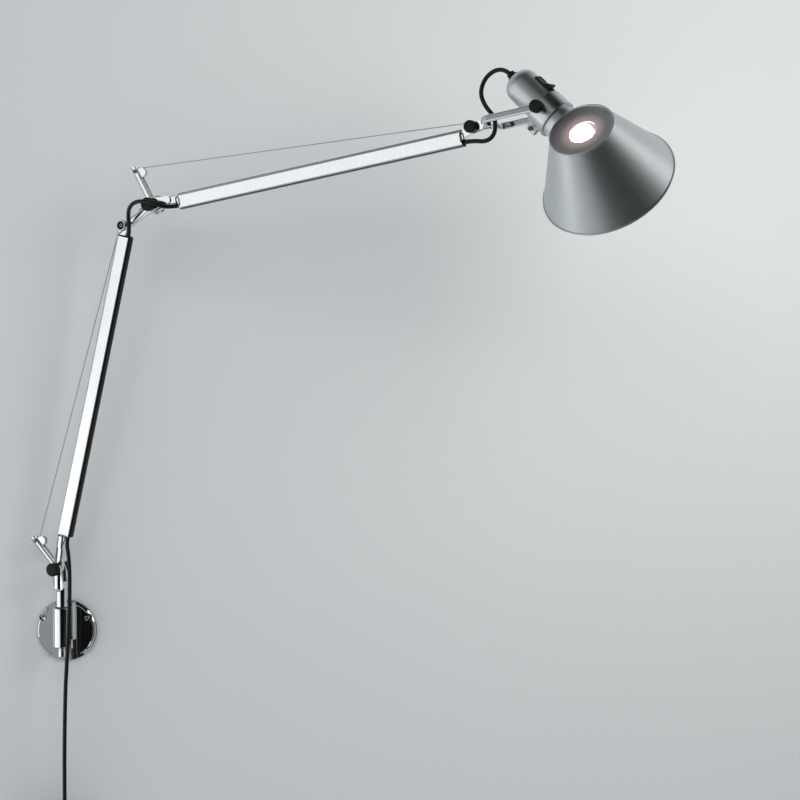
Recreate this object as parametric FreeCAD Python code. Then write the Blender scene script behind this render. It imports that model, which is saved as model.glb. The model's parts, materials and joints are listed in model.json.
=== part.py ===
"""Articulating wall lamp: a swivelling stem on a wall bracket carries two spring-balanced arms
with tension wires, a swivelling fork, a tilting lamp head and a turning conical shade.

Millimetres. Z is up, Y goes into the wall, the origin is the centre of the plate's wall face.
Every joint has its own local frame: x along the piece, y along the pivot bolt (away from the
viewer), z to the side of the piece that carries the tension wire.
"""
import math
import os

import FreeCAD
import Part

V = FreeCAD.Vector

# ---------------------------------------------------------------- driving dimensions
# wall bracket
plate_radius = 43.0
back_plate_thickness = 3.0
cover_thickness = 6.0
cover_rim_bevel = 2.2
cover_chord_drop = 33.0
screw_circle_radius = 37.0
screw_count = 3
screw_first_angle = 30.0
screw_hole_radius = 2.25
notch_radius = 5.2
cover_wall = 1.5
swivel_standoff = 46.0
barrel_radius = 11.8
barrel_bottom = -17.5
barrel_top = 37.0
barrel_foot_half_width = 6.5
barrel_foot_margin = 7.0
bush_radius = 6.6
bush_length = 13.0
bush_flange_radius = 9.0
bush_flange_thickness = 1.0
spigot_radius = 4.0
retaining_collar_radius = 5.2
retaining_collar_height = 12.0

# pivots, shared by the base pivot and the elbow
strut_inner = 3.1
strut_thickness = 1.8
cheek_thickness = 3.2
washer_thickness = 0.45
pivot_bolt_radius = 3.0
bolt_reach_in_knob = 5.5
knob_radius = 9.2
knob_length = 9.5
knob_end_wall = 2.2
knob_flutes = 10
knob_flat = 1.5
disc_radius = 13.0
disc_thickness = 2.6
cap_nut_radius = 5.0
cap_nut_length = 4.6

# stem
stem_radius = 7.3
stem_shoulder = 72.0
base_pivot_x = -4.5
base_pivot_z = 91.5
stem_eye_radius = 8.0

# struts that carry the fixed ends of the tension wires
strut_length = 60.0
strut_half_width = 3.5
strut_eye_radius = 6.2
strut_lean = 44.0
strut_screw_place = 52.0
strut_screw_radius = 1.6
anchor_along = -6.0
anchor_aside = 7.3
anchor_radius = 6.0
wire_radius = 0.5

# arms
tube_length = 424.0
tube_width = 21.5
tube_depth = 13.0
tube_corner = 4.0
tube_wall = 1.5
lower_tube_start = 49.0
upper_tube_start = 43.5
upper_tube_drop = 3.7
elbow_beyond_tube = 52.2
elbow_aside = 33.6
insert_low = -2.2
insert_reach = 20.0
lug_radius = 7.0
spring_radius = 3.6
spring_wire_radius = 0.8
spring_length = 210.0
spring_above_wire = 1.2
cord_place = -5.8
cord_forward = 1.5
cord_in_tube_top = 8.0
cord_in_tube_start = 12.5
cord_beyond_tube = 2.0
cord_joint = 0.1

# wire rollers at the far end of each arm
roller_radius = 7.0
roller_groove = 5.6
roller_width = 3.6
roller_axle_radius = 2.0
roller_cap_radius = 7.4
lower_roller_beyond = 14.2
lower_roller_aside = 6.0
upper_roller_beyond = 17.2
upper_roller_aside = 10.4
fitting_cheek = 2.9
wrist_ear = 2.4
wrist_knob_radius = 8.0
wrist_knob_length = 8.2

# wrist, fork and head
wrist_boss_radius = 6.5
wrist_boss_start = 9.0
wrist_boss_length = 10.0
wrist_screw_radius = 1.1
fork_pin_radius = 3.5
fork_bridge_place = 22.5
fork_bar = 4.0
fork_bar_width = 9.0
fork_bar_edge = 1.9
fork_eye_radius = 7.2
fork_inner_half = 27.6
fork_corner = 9.0
head_pivot_place = 101.0
head_bolt_radius = 2.5
head_knob_radius = 8.2
collar_radius = 25.5
collar_back = -7.5
collar_front = 17.5
clamp_half = 7.0
clamp_drop = 29.6
clamp_screw_radius = 1.6
housing_radius = 22.0
housing_back = -62.0
housing_wall = 1.5
housing_dome = 15.0
holder_radius = 18.0
holder_tail_radius = 13.4
holder_bore = 13.6
holder_back = -26.0
holder_step = -11.6
neck_bearing_radius = 20.6
neck_wall = 1.9
bulb_radius = 22.5
bulb_wall = 1.0
bulb_centre = 57.0
bulb_cap_end = 19.5
switch_centre = -24.0
switch_side_turn = 10.0
switch_length = 27.0
switch_width = 12.6
rocker_margin = 1.4
rocker_gap = 1.1
rocker_depth = 3.6
rocker_rise = 6.4
rocker_tilt = 7.0

# shade
shade_radius = 85.0
shade_top_radius = 40.7
shade_height = 93.0
shade_wall = 1.0
bead_radius = 1.3
neck_length = 13.2
shade_axis_depth = 49.4
top_disc_recess = 3.4
top_disc_thickness = 1.0
top_hole_radius = 17.0
handle_wire_radius = 0.8
handle_wall_gap = 5.4
handle_taper = 14.0
handle_clip_half = 6.3
handle_clip_length = 8.0
handle_spread = 3.9
handle_tip_spread = 2.7
handle_below_rim = 77.0
handle_top_depth = 50.0

# cords
cord_radius = 2.8
coil_radius = 31.0
coil_turns = 7
coil_pitch = 6.4
coil_lead = 6.0
coil_tail = 42.0
plug_width = 35.0
plug_thickness = 13.0
plug_height = 34.0
plug_pin_radius = 2.0
plug_pin_length = 19.0
plug_pin_half_spacing = 9.5
plug_bore_depth = 9.0

# rest pose
swivel_angle = -27.0
lower_arm_angle = 76.0
upper_arm_angle = -66.5
fork_roll = -4.0
head_tilt = -52.0
shade_turn = 64.7

# clearances
running = 0.05
gap = 0.3
seat = 0.05

# ---------------------------------------------------------------- derived places
swivel_y = -swivel_standoff
cheek_inner = strut_inner + strut_thickness
cheek_outer = cheek_inner + cheek_thickness
lug_half = strut_inner - running
ear_inner = cheek_inner + washer_thickness + 2 * running
ear_outer = ear_inner + cheek_thickness - 0.4
wrist_screw_place = wrist_boss_start + 6.6
fitting_outer = roller_width / 2 + 0.2 + fitting_cheek
wrist_ear_inner = fitting_outer + gap
wrist_ear_outer = wrist_ear_inner + wrist_ear
shade_slope = math.degrees(math.atan((shade_radius - shade_top_radius) / shade_height))
slope_tangent = (shade_radius - shade_top_radius) / shade_height
slope_cosine = math.cos(math.radians(shade_slope))
wall_reach = (shade_top_radius + shade_axis_depth * slope_tangent) * slope_cosine
shade_axis_reach = collar_front + gap + neck_length + wall_reach
handle_offset = shade_top_radius + handle_top_depth * slope_tangent - shade_wall / slope_cosine - handle_wall_gap
tube_inner_half = tube_width / 2 - tube_wall
tube_inner_depth = tube_depth / 2 - tube_wall


# ---------------------------------------------------------------- helpers
def box(x0, x1, y0, y1, z0, z1):
    return Part.makeBox(x1 - x0, y1 - y0, z1 - z0, V(x0, y0, z0))


def cylinder(start, direction, radius, length):
    return Part.makeCylinder(radius, length, start, direction)


def pin(x, z, radius, y0, y1):
    """A round bar along y."""
    return cylinder(V(x, y0, z), V(0, 1, 0), radius, y1 - y0)


def washer(x, z, inner, outer, y0, y1):
    return pin(x, z, outer, y0, y1).cut(pin(x, z, inner, y0 - 1, y1 + 1))


def both_sides(shape):
    """The shape and its mirror image across the arm's middle plane, as two solids."""
    return Part.makeCompound([shape, shape.mirror(V(0, 0, 0), V(0, 1, 0))])


def strap(a, radius_a, b, radius_b, y0, y1):
    """A flat plate with two round ends, drawn in the x-z plane and thick along y."""
    ax, az = a
    bx, bz = b
    reach = math.hypot(bx - ax, bz - az)
    along = math.atan2(bz - az, bx - ax)
    lean = math.acos((radius_a - radius_b) / reach)

    def rim(centre, radius, angle):
        return V(centre[0] + radius * math.cos(angle), y0, centre[1] + radius * math.sin(angle))

    left_a = rim(a, radius_a, along + lean)
    left_b = rim(b, radius_b, along + lean)
    right_a = rim(a, radius_a, along - lean)
    right_b = rim(b, radius_b, along - lean)
    edges = [
        Part.makeLine(left_a, left_b),
        Part.Arc(left_b, rim(b, radius_b, along), right_b).toShape(),
        Part.makeLine(right_b, right_a),
        Part.Arc(right_a, rim(a, radius_a, along + math.pi), left_a).toShape(),
    ]
    face = Part.Face(Part.Wire(edges))
    return face.extrude(V(0, y1 - y0, 0))


def outline(points):
    """A closed flat face. A pair in the list is the middle and the end of an arc."""
    edges = []
    here = points[0]
    for item in points[1:] + [points[0]]:
        if isinstance(item, tuple):
            middle, there = item
            edges.append(Part.Arc(here, middle, there).toShape())
        else:
            there = item
            edges.append(Part.makeLine(here, there))
        here = there
    return Part.Face(Part.Wire(edges))


def revolve(points, axis_start=V(0, 0, 0), axis=V(0, 0, 1)):
    """Turns a closed outline once round an axis."""
    return outline(points).revolve(axis_start, axis, 360)


def rounded_bar(x0, x1, y_half, z_half, corner):
    """A bar along x with a rounded rectangular section."""
    wire_edges = []
    corners = [(1, 1), (-1, 1), (-1, -1), (1, -1)]
    for step, (sy, sz) in enumerate(corners):
        cy = sy * (y_half - corner)
        cz = sz * (z_half - corner)
        start = math.radians(90 * step)
        middle = start + math.pi / 4
        end = start + math.pi / 2
        points = [V(x0, cy + corner * math.cos(t), cz + corner * math.sin(t)) for t in (start, middle, end)]
        wire_edges.append(Part.Arc(*points).toShape())
    edges = []
    for step, arc in enumerate(wire_edges):
        following = wire_edges[(step + 1) % 4]
        edges.append(arc)
        edges.append(Part.makeLine(arc.lastVertex(True).Point, following.firstVertex(True).Point))
    return Part.Face(Part.Wire(edges)).extrude(V(x1 - x0, 0, 0))


def arc_between(start, corner, end):
    """The arc that leaves start and reaches end along the two lines through corner."""
    chord_middle = (start + end) * 0.5
    half_chord = (end - start).Length / 2
    height = (corner - chord_middle).Length
    half_turn = math.atan2(height, half_chord)
    towards = (corner - chord_middle).normalize()
    middle = chord_middle + towards * (half_chord * math.tan(half_turn / 2))
    return Part.Arc(start, middle, end).toShape()


def pipe(path, radius, name):
    """A round bar swept along a wire; its volume is compared with section times length."""
    first = path.OrderedEdges[0]
    start = first.valueAt(first.FirstParameter)
    tangent = first.tangentAt(first.FirstParameter)
    if (start - path.OrderedVertexes[0].Point).Length > 1e-6:
        start = path.OrderedVertexes[0].Point
        tangent = first.tangentAt(first.LastParameter) * -1
    section = Part.Wire(Part.Circle(start, tangent, radius).toShape())
    solid = path.makePipeShell([section], True, False)
    expected = math.pi * radius ** 2 * path.Length
    print(name, "length", round(path.Length, 1), "volume ratio", round(solid.Volume / expected, 4))
    return solid


def cord_pieces(points, cuts, names):
    """A cord of straight runs joined by tangent arcs, cut into pieces at the middle of the runs in cuts."""
    corners = list(points)
    pieces = [[]]
    here = corners[0]
    radii = []
    last = len(corners) - 2
    for index in range(last + 1):
        corner = corners[index + 1]
        there = corner
        if index < last:
            run_in = corner - corners[index]
            run_out = corners[index + 2] - corner
            setback = 0.45 * min(run_in.Length, run_out.Length)
            radii.append(round(setback / math.tan(run_in.getAngle(run_out) / 2), 1))
            there = corner - run_in.normalize() * setback
        if index in cuts:
            middle = (corners[index] + corner) * 0.5
            pieces[-1].append(Part.LineSegment(here, middle).toShape())
            pieces.append([])
            here = middle
        pieces[-1].append(Part.LineSegment(here, there).toShape())
        if index < last:
            here = corner + run_out.normalize() * setback
            pieces[-1].append(arc_between(there, corner, here))
    print(names[0], "bend radii", radii)
    return [pipe(Part.Wire(edges), cord_radius, name) for edges, name in zip(pieces, names)]


def nested(parent, origin, axis=V(0, 1, 0), degrees=0.0):
    turn = FreeCAD.Rotation(axis, degrees)
    return parent.multiply(FreeCAD.Placement(origin, turn))


def pitched(parent, origin, degrees):
    """A frame whose x axis is raised by the angle in the arm's plane."""
    return nested(parent, origin, V(0, 1, 0), -degrees)


def placed(shape, frame):
    moved = shape.copy()
    moved.Placement = frame.multiply(moved.Placement)
    return moved


# ---------------------------------------------------------------- joint frames
world_frame = FreeCAD.Placement()
stem_frame = nested(world_frame, V(0, swivel_y, 0), V(0, 0, 1), swivel_angle)
lower_frame = pitched(stem_frame, V(base_pivot_x, 0, base_pivot_z), lower_arm_angle)
elbow_x = lower_tube_start + tube_length + elbow_beyond_tube
upper_frame = pitched(lower_frame, V(elbow_x, 0, -elbow_aside), upper_arm_angle)
upper_roller_x = upper_tube_start + tube_length + upper_roller_beyond
upper_roller_z = upper_roller_aside - upper_tube_drop
wrist_frame = nested(upper_frame, V(upper_roller_x, 0, upper_roller_z))
fork_frame = nested(wrist_frame, V(0, 0, 0), V(1, 0, 0), fork_roll)
head_frame = pitched(fork_frame, V(head_pivot_place, 0, 0), head_tilt)
shade_frame = nested(head_frame, V(0, 0, 0), V(1, 0, 0), shade_turn)
lower_roller_x = lower_tube_start + tube_length + lower_roller_beyond
lower_roller_z = lower_roller_aside
rocker_z = housing_radius - 1.0
switch_frame = nested(head_frame, V(0, 0, 0), V(1, 0, 0), switch_side_turn)
rocker_frame = nested(switch_frame, V(switch_centre, 0, rocker_z))


# ---------------------------------------------------------------- wall bracket
def screw_places():
    for index in range(screw_count):
        angle = math.radians(screw_first_angle + 360.0 * index / screw_count)
        yield V(screw_circle_radius * math.cos(angle), 0, screw_circle_radius * math.sin(angle))


def back_plate():
    plate = cylinder(V(0, -back_plate_thickness, 0), V(0, 1, 0), plate_radius, back_plate_thickness)
    for place in screw_places():
        hole = cylinder(place - V(0, back_plate_thickness + 1, 0), V(0, 1, 0),
                        screw_hole_radius, back_plate_thickness + 2)
        plate = plate.cut(hole)
    return plate


def foot_block(margin):
    """The web that joins the barrel to the plate; with a margin it cuts the slot in the cover."""
    half = barrel_foot_half_width + margin
    return box(-half, half, swivel_y, -back_plate_thickness,
               barrel_bottom + barrel_foot_margin - margin, barrel_top - barrel_foot_margin + margin)


def cover_plate():
    back = -back_plate_thickness
    front = back - cover_thickness
    radius = plate_radius - 0.4
    step = 1.1
    profile = [
        V(0, back, 0), V(radius, back, 0), V(radius, front + cover_rim_bevel, 0),
        V(radius - cover_rim_bevel, front, 0), V(radius - cover_rim_bevel - step, front, 0),
        V(radius - cover_rim_bevel - 2 * step, front + step, 0), V(0, front + step, 0),
    ]
    cover = revolve(profile, V(0, 0, 0), V(0, 1, 0))
    room = cylinder(V(0, front + step + cover_wall, 0), V(0, 1, 0), radius - cover_wall, cover_thickness)
    cover = cover.cut(room)
    notches = [place for place in screw_places() if place.z > 0]
    for place in notches:
        cover = cover.cut(cylinder(place + V(0, front - 1, 0), V(0, 1, 0), notch_radius,
                                   cover_thickness + 2))
    below = box(-plate_radius, plate_radius, front - 1, back + 1, -plate_radius - 1, -cover_chord_drop)
    return cover.cut(below).cut(foot_block(gap))


def barrel():
    height = barrel_top - barrel_bottom
    edge = 0.8
    profile = [
        V(bush_radius, 0, barrel_bottom), V(barrel_radius - edge, 0, barrel_bottom),
        V(barrel_radius, 0, barrel_bottom + edge), V(barrel_radius, 0, barrel_top - edge),
        V(barrel_radius - edge, 0, barrel_top), V(bush_radius, 0, barrel_top),
    ]
    tube = revolve(profile).translated(V(0, swivel_y, 0))
    bore = cylinder(V(0, swivel_y, barrel_bottom - 1), V(0, 0, 1), bush_radius, height + 2)
    return foot_block(0).cut(bore).fuse(tube)


def barrel_bushes():
    bushes = []
    for end, direction in ((barrel_top, 1), (barrel_bottom, -1)):
        sleeve = cylinder(V(0, swivel_y, end), V(0, 0, -direction), bush_radius, bush_length)
        flange = cylinder(V(0, swivel_y, end), V(0, 0, direction), bush_flange_radius, bush_flange_thickness)
        bore = cylinder(V(0, swivel_y, end - direction * (bush_length + 1)), V(0, 0, direction),
                        spigot_radius + running, bush_length + bush_flange_thickness + 2)
        bushes.append(sleeve.fuse(flange).cut(bore))
    return Part.makeCompound(bushes)


# ---------------------------------------------------------------- stem
def stem():
    top_face = barrel_top + bush_flange_thickness + gap
    bottom = barrel_bottom - bush_flange_thickness - gap - retaining_collar_height
    profile = [
        V(0, 0, bottom), V(spigot_radius, 0, bottom), V(spigot_radius, 0, top_face),
        V(stem_radius - 0.6, 0, top_face), V(stem_radius, 0, top_face + 0.6),
        V(stem_radius, 0, stem_shoulder), V(0, 0, stem_shoulder),
    ]
    post = revolve(profile)
    pivot = (base_pivot_x, base_pivot_z)
    cheeks = strap((0, stem_shoulder - 4), stem_radius, pivot, stem_eye_radius, -cheek_outer, cheek_outer)
    opening = box(-40, 40, -cheek_inner, cheek_inner, stem_shoulder + 2, base_pivot_z + 40)
    shape = post.fuse(cheeks).cut(opening)
    return shape.cut(pin(base_pivot_x, base_pivot_z, pivot_bolt_radius + running, -20, 20))


def retaining_collar():
    top = barrel_bottom - bush_flange_thickness - gap
    ring = cylinder(V(0, 0, top), V(0, 0, -1), retaining_collar_radius, retaining_collar_height)
    groove = Part.makeTorus(retaining_collar_radius + 0.3, 0.8, V(0, 0, top - 3), V(0, 0, 1))
    bore = cylinder(V(0, 0, top + 1), V(0, 0, -1), spigot_radius, retaining_collar_height + 2)
    return ring.cut(groove).cut(bore)


# ---------------------------------------------------------------- struts, made along x from the pivot
def strut_plates():
    tip = strut_length - strut_half_width
    plate = strap((0, 0), strut_half_width, (tip, 0), strut_half_width - 0.001, strut_inner, cheek_inner)
    eye = pin(0, 0, strut_eye_radius, strut_inner, cheek_inner)
    plate = plate.fuse(eye)
    plate = plate.cut(pin(0, 0, pivot_bolt_radius, 0, cheek_inner + 1))
    plate = plate.cut(pin(strut_screw_place, 0, strut_screw_radius, 0, cheek_inner + 1))
    return both_sides(plate)


def wire_anchor():
    half = strut_inner - seat
    lobe = (strut_screw_place + anchor_along, -anchor_aside)
    body = strap((strut_screw_place, 0), strut_half_width - 0.3, lobe, anchor_radius, -half, half)
    groove = Part.makeTorus(anchor_radius + 0.2, wire_radius + 0.35, V(lobe[0], 0, lobe[1]), V(0, 1, 0))
    body = body.cut(groove)
    return body.cut(pin(strut_screw_place, 0, strut_screw_radius, -half - 1, half + 1))


def strut_screw():
    shank = pin(strut_screw_place, 0, strut_screw_radius, -cheek_inner, cheek_inner)
    head = pin(strut_screw_place, 0, strut_screw_radius + 1.0, -cheek_inner - 1.6, -cheek_inner)
    nut = pin(strut_screw_place, 0, strut_screw_radius + 1.0, cheek_inner, cheek_inner + 1.6)
    return shank.fuse(head).fuse(nut)


# ---------------------------------------------------------------- knobs, bolts and washers
def knob_body(radius, length, start):
    """A fluted friction knob that begins at y = -start and points at the viewer."""
    rim = 1.6
    dome = 0.7
    end = -start - length
    profile = [
        V(0, -start, 0), V(radius - 0.5, -start, 0), V(radius, -start - 0.6, 0), V(radius, end + rim, 0),
        (V(radius - 0.29 * rim, end + 0.29 * rim + dome / 2, 0), V(radius - rim, end + dome / 2, 0)),
        (V(radius * 0.5, end + 0.12 * dome, 0), V(knob_flat, end, 0)), V(0, end, 0),
    ]
    body = revolve(profile, V(0, 0, 0), V(0, 1, 0))
    flute = 1.1
    for index in range(knob_flutes):
        angle = 2 * math.pi * index / knob_flutes
        x = (radius + 0.5) * math.cos(angle)
        z = (radius + 0.5) * math.sin(angle)
        body = body.cut(pin(x, z, flute, end - 1, -start - 1.4))
    return body


def knob(radius, length, bore, start):
    """A knob with a blind bore that turns on the end of its bolt."""
    return knob_body(radius, length, start).cut(pin(0, 0, bore, -start - length + knob_end_wall, -start + 1))


def turned_round(shape):
    """The same piece on the far side of the pivot."""
    return placed(shape, FreeCAD.Placement(V(0, 0, 0), FreeCAD.Rotation(V(0, 0, 1), 180)))


def base_bolt():
    """The pivot bolt with its fixed rear knob."""
    front = cheek_outer + gap + bolt_reach_in_knob
    shank = pin(0, 0, pivot_bolt_radius, -front, cheek_outer + 1)
    return shank.fuse(turned_round(knob_body(knob_radius, knob_length, cheek_outer)))


def elbow_bolt():
    """The elbow's bolt with its polished disc and domed nut on the wall side."""
    front = ear_outer + gap + bolt_reach_in_knob
    face = ear_outer + gap
    shank = pin(0, 0, pivot_bolt_radius, -front, face + 1)
    edge = 0.8
    back = face + disc_thickness
    top = back + cap_nut_length
    profile = [
        V(0, face, 0), V(disc_radius - edge, face, 0), V(disc_radius, face + edge, 0), V(disc_radius, back - edge, 0),
        V(disc_radius - edge, back, 0), V(cap_nut_radius, back, 0), V(cap_nut_radius, top - 2, 0),
        (V(cap_nut_radius * 0.75, top - 0.7, 0), V(knob_flat, top, 0)), V(0, top, 0),
    ]
    return shank.fuse(revolve(profile, V(0, 0, 0), V(0, 1, 0)))


def base_knob():
    return knob(knob_radius, knob_length, pivot_bolt_radius + running, cheek_outer + gap)


def elbow_knob():
    return knob(knob_radius, knob_length, pivot_bolt_radius + running, ear_outer + gap)


def elbow_washers():
    """One thin washer between each strut plate and the upper arm's ear."""
    inner = cheek_inner + running
    return both_sides(washer(0, 0, pivot_bolt_radius, 7.0, inner, inner + washer_thickness))


# ---------------------------------------------------------------- arms
def arm_tube(start, drop):
    outer = rounded_bar(start, start + tube_length, tube_depth / 2, tube_width / 2, tube_corner)
    inner = rounded_bar(start - 1, start + tube_length + 1, tube_depth / 2 - tube_wall,
                        tube_width / 2 - tube_wall, tube_corner - tube_wall)
    return outer.cut(inner).translated(V(0, 0, -drop))


def insert_block(x0, x1, drop):
    """The part of a fitting that plugs into the tube, on the side of the tension wire."""
    high = tube_inner_half - seat
    half = tube_inner_depth - seat
    block = box(x0, x1, -half, half, insert_low - drop, high - drop)
    edges = [e for e in block.Edges if abs(e.BoundBox.XLength - (x1 - x0)) < 1e-6]
    top_edges = [e for e in edges if e.BoundBox.ZMax > high - drop - 0.1]
    return block.makeFillet(tube_corner - tube_wall, top_edges)


def lower_bottom_fitting():
    block = insert_block(30.0, lower_tube_start + insert_reach, 0)
    lug = strap((0, 0), lug_radius, (34.0, 3.4), 5.2, -lug_half, lug_half)
    return block.fuse(lug).cut(pin(0, 0, pivot_bolt_radius + running, -10, 10))


def roller_pocket(x, z, tube_end):
    """The room for a roller between its cheeks, with the slot that lets the wire into the tube."""
    wheel = pin(x, z, roller_radius + 0.6, -roller_width / 2 - 0.2, roller_width / 2 + 0.2)
    wire_side = z - roller_groove - wire_radius
    slot = box(tube_end - insert_reach - 1, x, -1.2, 1.2, wire_side - 1.2, wire_side + 1.2)
    return wheel.fuse(slot)


def lower_top_fitting():
    """The insert, the roller's two cheeks and the cranked link that carries the elbow."""
    tube_end = lower_tube_start + tube_length
    block = insert_block(tube_end - insert_reach, tube_end + 3, 0)
    cheeks = strap((tube_end + 5.8, 3.5), 5.6, (lower_roller_x, lower_roller_z), 6.4, -fitting_outer, fitting_outer)
    root = strap((lower_roller_x + 1.3, 3.0), 4.0, (lower_roller_x + 4.3, -3.0), 4.3, -fitting_outer, fitting_outer)
    link = strap((lower_roller_x + 3.8, -1.5), 4.4, (elbow_x, -elbow_aside), lug_radius, -lug_half, lug_half)
    shape = block.fuse([cheeks, root, link])
    shape = shape.cut(roller_pocket(lower_roller_x, lower_roller_z, tube_end))
    shape = shape.cut(pin(lower_roller_x, lower_roller_z, roller_axle_radius + running, -20, 20))
    return shape.cut(pin(elbow_x, -elbow_aside, pivot_bolt_radius + running, -20, 20))


def upper_elbow_fitting():
    """Two ears that straddle the strut at the elbow, and the insert for the upper tube."""
    ear = strap((0, 0), stem_eye_radius, (27.0, 1.0), 5.2, ear_inner, ear_outer)
    ears = ear.fuse(ear.mirror(V(0, 0, 0), V(0, 1, 0)))
    low = insert_low - upper_tube_drop
    high = tube_inner_half - seat - upper_tube_drop
    half = tube_depth / 2 - 0.1
    bridge = box(24.0, upper_tube_start, -half, half, low, high)
    edges = [e for e in bridge.Edges if e.BoundBox.XLength > 10]
    bridge = bridge.makeFillet(1.6, edges)
    block = insert_block(upper_tube_start - 1, upper_tube_start + insert_reach, upper_tube_drop)
    shape = ears.fuse([bridge, block])
    return shape.cut(pin(0, 0, pivot_bolt_radius + running, -20, 20))


def upper_end_fitting():
    """The insert at the upper arm's far end, with the wrist roller's seat."""
    tube_end = upper_tube_start + tube_length
    block = insert_block(tube_end - insert_reach, tube_end + 4, upper_tube_drop)
    cheeks = strap((tube_end + 4.8, 1.2), 4.6, (upper_roller_x, upper_roller_z), 6.4, -fitting_outer, fitting_outer)
    shape = block.fuse(cheeks)
    shape = shape.cut(roller_pocket(upper_roller_x, upper_roller_z, tube_end))
    return shape.cut(pin(upper_roller_x, upper_roller_z, roller_axle_radius + running, -20, 20))


def spring_start(tube_start):
    return tube_start + insert_reach + 2 * spring_radius - 1 + seat


def balance_spring(tube_start, wire_z):
    """An extension spring inside the tube: a close-wound body between two hooked ends."""
    start = spring_start(tube_start)
    z = wire_z + spring_above_wire
    body = cylinder(V(start, 0, z), V(1, 0, 0), spring_radius, spring_length)
    bore = cylinder(V(start - 1, 0, z), V(1, 0, 0), spring_radius - 2 * spring_wire_radius,
                    spring_length + 2)
    eyes = []
    for x in (start - spring_radius + 1, start + spring_length + spring_radius - 1):
        eyes.append(Part.makeTorus(spring_radius - spring_wire_radius, spring_wire_radius, V(x, 0, z), V(0, 1, 0)))
    return body.cut(bore).fuse(eyes)


def roller(axle):
    """The grooved wheel that the tension wire runs over."""
    half = roller_width / 2
    profile = [
        V(axle, -half, 0), V(roller_radius, -half, 0), V(roller_radius, -half + 0.7, 0),
        V(roller_groove, -0.45, 0), V(roller_groove, 0.45, 0), V(roller_radius, half - 0.7, 0),
        V(roller_radius, half, 0), V(axle, half, 0),
    ]
    return revolve(profile, V(0, 0, 0), V(0, 1, 0))


def lower_roller():
    """The wheel on its turning axle, with a dished cap for the viewer's side and a plain one behind."""
    face = fitting_outer + gap
    depth = 3.4
    axle = pin(0, 0, roller_axle_radius, -face - 1, face + 1)
    cap = [
        V(0, -face, 0), V(roller_cap_radius, -face, 0), V(roller_cap_radius, -face - depth + 0.5, 0),
        V(roller_cap_radius - 0.6, -face - depth, 0), V(roller_cap_radius - 1.7, -face - depth, 0),
        V(roller_cap_radius - 2.2, -face - depth + 0.9, 0), V(0, -face - depth + 0.9, 0),
    ]
    front = revolve(cap, V(0, 0, 0), V(0, 1, 0))
    back = pin(0, 0, 4.2, face, face + 1.6)
    return roller(roller_axle_radius).fuse([axle, front, back])


def upper_roller():
    return roller(roller_axle_radius + running)


# ---------------------------------------------------------------- tension wires
def wire_level(roller_z):
    """Height of the wire where it leaves the roller and runs back inside the tube."""
    return roller_z - roller_groove - wire_radius - seat


def tension_wire(anchor, centre, tube_start, name):
    """Straight from the anchor's lobe to the roller, half way round it, and back into the tube."""
    start_radius = anchor_radius + 0.2
    end_radius = roller_groove + wire_radius + seat
    span = centre - anchor
    along = math.atan2(span.z, span.x)
    lean = math.acos((start_radius - end_radius) / span.Length)
    direction = V(math.cos(along + lean), 0, math.sin(along + lean))
    start = anchor + direction * start_radius
    touch = centre + direction * end_radius
    leave = V(centre.x, 0, wire_level(centre.z))
    eye = spring_start(tube_start) + spring_length + spring_radius - 1
    below_eye = spring_radius - spring_wire_radius
    hook_reach = math.sqrt((below_eye + spring_wire_radius) ** 2 - (spring_above_wire + wire_radius) ** 2)
    end = V(eye + hook_reach + seat, 0, leave.z)
    edges = [
        Part.LineSegment(start, touch).toShape(),
        Part.Arc(touch, centre + V(end_radius, 0, 0), leave).toShape(),
        Part.LineSegment(leave, end).toShape(),
    ]
    return pipe(Part.Wire(edges), wire_radius, name)


def anchor_lobe(strut_frame, arm_frame):
    """The centre of the wire anchor's lobe, seen from the arm that the wire runs along."""
    lobe = V(strut_screw_place + anchor_along, 0, -anchor_aside)
    return arm_frame.inverse().multVec(strut_frame.multVec(lobe))


# ---------------------------------------------------------------- wrist and fork
def wrist_block():
    """Two ears on the wrist bolt and the boss in which the fork's pin turns."""
    ear = strap((0, 0), 5.6, (wrist_boss_start + 2, 0), 5.6, wrist_ear_inner, wrist_ear_outer)
    ears = ear.fuse(ear.mirror(V(0, 0, 0), V(0, 1, 0)))
    bridge = box(wrist_boss_start, wrist_boss_start + 3.4, -wrist_ear_outer, wrist_ear_outer, -5.2, 5.2)
    boss = cylinder(V(wrist_boss_start, 0, 0), V(1, 0, 0), wrist_boss_radius, wrist_boss_length)
    shape = ears.fuse([bridge, boss])
    bore = cylinder(V(wrist_boss_start + 1.4, 0, 0), V(1, 0, 0), fork_pin_radius + running, wrist_boss_length)
    shape = shape.cut(bore).cut(pin(0, 0, roller_axle_radius + running, -20, 20))
    return shape.cut(cylinder(V(wrist_screw_place, 0, 0), V(0, 0, 1), wrist_screw_radius, 20))


def wrist_screw():
    """The cross-slotted screw whose tip runs in the fork pin's groove and keeps it in the boss."""
    x = wrist_screw_place
    tip = fork_pin_radius - 0.5
    shank = cylinder(V(x, 0, tip), V(0, 0, 1), wrist_screw_radius, wrist_boss_radius - tip + 0.6)
    head = cylinder(V(x, 0, wrist_boss_radius), V(0, 0, 1), 2.6, 1.6)
    slots = box(x - 3, x + 3, -0.4, 0.4, wrist_boss_radius + 0.9, wrist_boss_radius + 2)
    cross = box(x - 0.4, x + 0.4, -3, 3, wrist_boss_radius + 0.9, wrist_boss_radius + 2)
    return shank.fuse(head).cut(slots).cut(cross)


def wrist_bolt():
    """The wrist's pivot: it also carries the roller, and has a fixed nut on the wall side."""
    front = wrist_ear_outer + gap + bolt_reach_in_knob
    face = wrist_ear_outer + gap
    return pin(0, 0, roller_axle_radius, -front, face + 1).fuse(pin(0, 0, cap_nut_radius, face, face + 3.2))


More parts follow.
